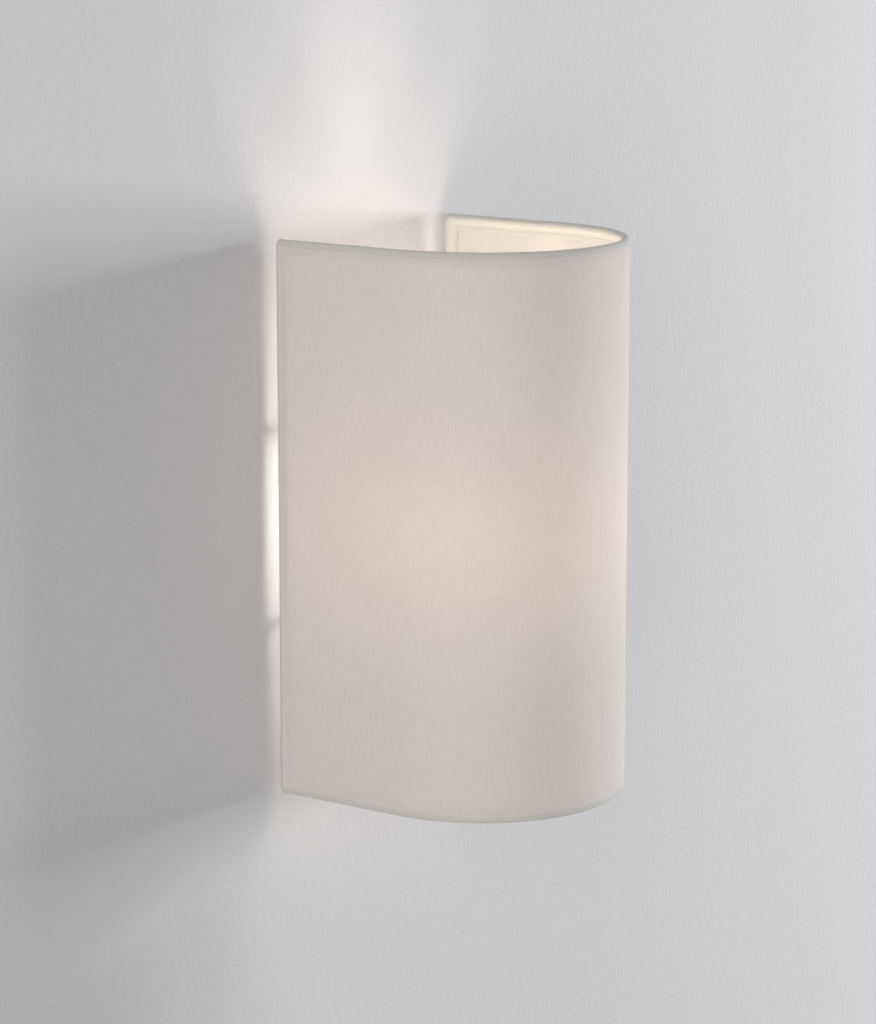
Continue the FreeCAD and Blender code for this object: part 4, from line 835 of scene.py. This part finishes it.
def amber_gel():
    """A gel by the right back edge that warms and thins the key light where it slips in along the wall."""
    film, tree, out = material("amber_gel")
    clear = add(tree, "ShaderNodeBsdfTransparent", {"Color": (0.62, 0.5, 0.42, 1)})
    tree.links.new(clear.outputs[0], out.inputs["Surface"])
    right, front = HALF_WIDTH + 6 * MM, -6 * MM
    made = backdrop("gel", [(right, 0, -HALF_HEIGHT), (right, front, -HALF_HEIGHT),
                            (right, front, HALF_HEIGHT), (right, 0, HALF_HEIGHT)], film)
    made.visible_camera = made.visible_diffuse = made.visible_glossy = made.visible_transmission = False
    made.parent = frame["bodies"]["shade"]
    return made


def shine_through(name, lights, pieces):
    """Let some lights pass some pieces, which still stop the others."""
    spared = bpy.data.collections.new(name)
    for piece in pieces:
        spared.objects.link(piece)
    for member in spared.collection_objects:
        member.light_linking.link_state = "EXCLUDE"
    for light in lights:
        light.light_linking.blocker_collection = spared


KEY_POWER, FILL_POWER, LAMP_POWER, UP_POWER, BACK_POWER = 35.0, 23.0, 0.26, 0.62, 12.0
KEY_COLOUR, FILL_COLOUR = (0.95, 0.96, 0.99), (1, 0.965, 0.95)
LAMP_COLOUR, PLAIN = (1.0, 0.925, 0.87), (1, 1, 1)
SKY, SKY_SEEN = 0.34, 0.82
MIDDLE = (0, -0.065, 0)
lamp("key_softbox", "AREA", KEY_POWER, KEY_COLOUR, (2.1, -1.08, 0.04), MIDDLE,
     shape="RECTANGLE", size=0.9, size_y=0.5)
lamp("fill_softbox", "AREA", FILL_POWER, FILL_COLOUR, (-2.2, -1.15, 0.15), MIDDLE,
     shape="RECTANGLE", size=1.6, size_y=1.6)
bulb = lamp("lit_bowl", "POINT", LAMP_POWER, LAMP_COLOUR, (0, -AXIS_OUT, 0), shadow_soft_size=27 * MM,
            use_soft_falloff=False)
upward = lamp("light_up_the_wall", "SPOT", UP_POWER, LAMP_COLOUR, (0, -AXIS_OUT, 34 * MM), (0, 0, 0.36),
              shadow_soft_size=8 * MM, spot_size=math.radians(42), spot_blend=1.0)
for light in (bulb, upward):
    light.parent = frame["bodies"]["lamp"]
shine_through("stops_only_the_key_light", (bulb, upward), [amber_gel()])

# The fixture's back is only seen when looked at through the wall, so its light passes the wall too.
back = lamp("back_softbox", "AREA", BACK_POWER, PLAIN, (0.7, 1.3, 0.5), MIDDLE,
            shape="RECTANGLE", size=2.4, size_y=2.4)
receivers = bpy.data.collections.new("lit_from_behind")
for name in ("wall_plate", "cover_pan", "cable_grommet", "pan_grommet"):
    receivers.objects.link(frame["nodes"][name])
back.light_linking.receiver_collection = receivers
shine_through("passed_from_behind", [back], (room_wall, room_floor))

world = bpy.data.worlds.new("plain_room")
bpy.context.scene.world = world
world.use_nodes = True
sky = world.node_tree
sky.nodes.clear()
path = add(sky, "ShaderNodeLightPath")
strength = add(sky, "ShaderNodeMapRange", {0: path.outputs["Is Camera Ray"], 3: SKY, 4: SKY_SEEN})
light = add(sky, "ShaderNodeBackground", {"Color": (*PLAIN, 1), "Strength": strength})
add(sky, "ShaderNodeOutputWorld", {"Surface": light})
bpy.context.scene.view_settings.view_transform = "Standard"
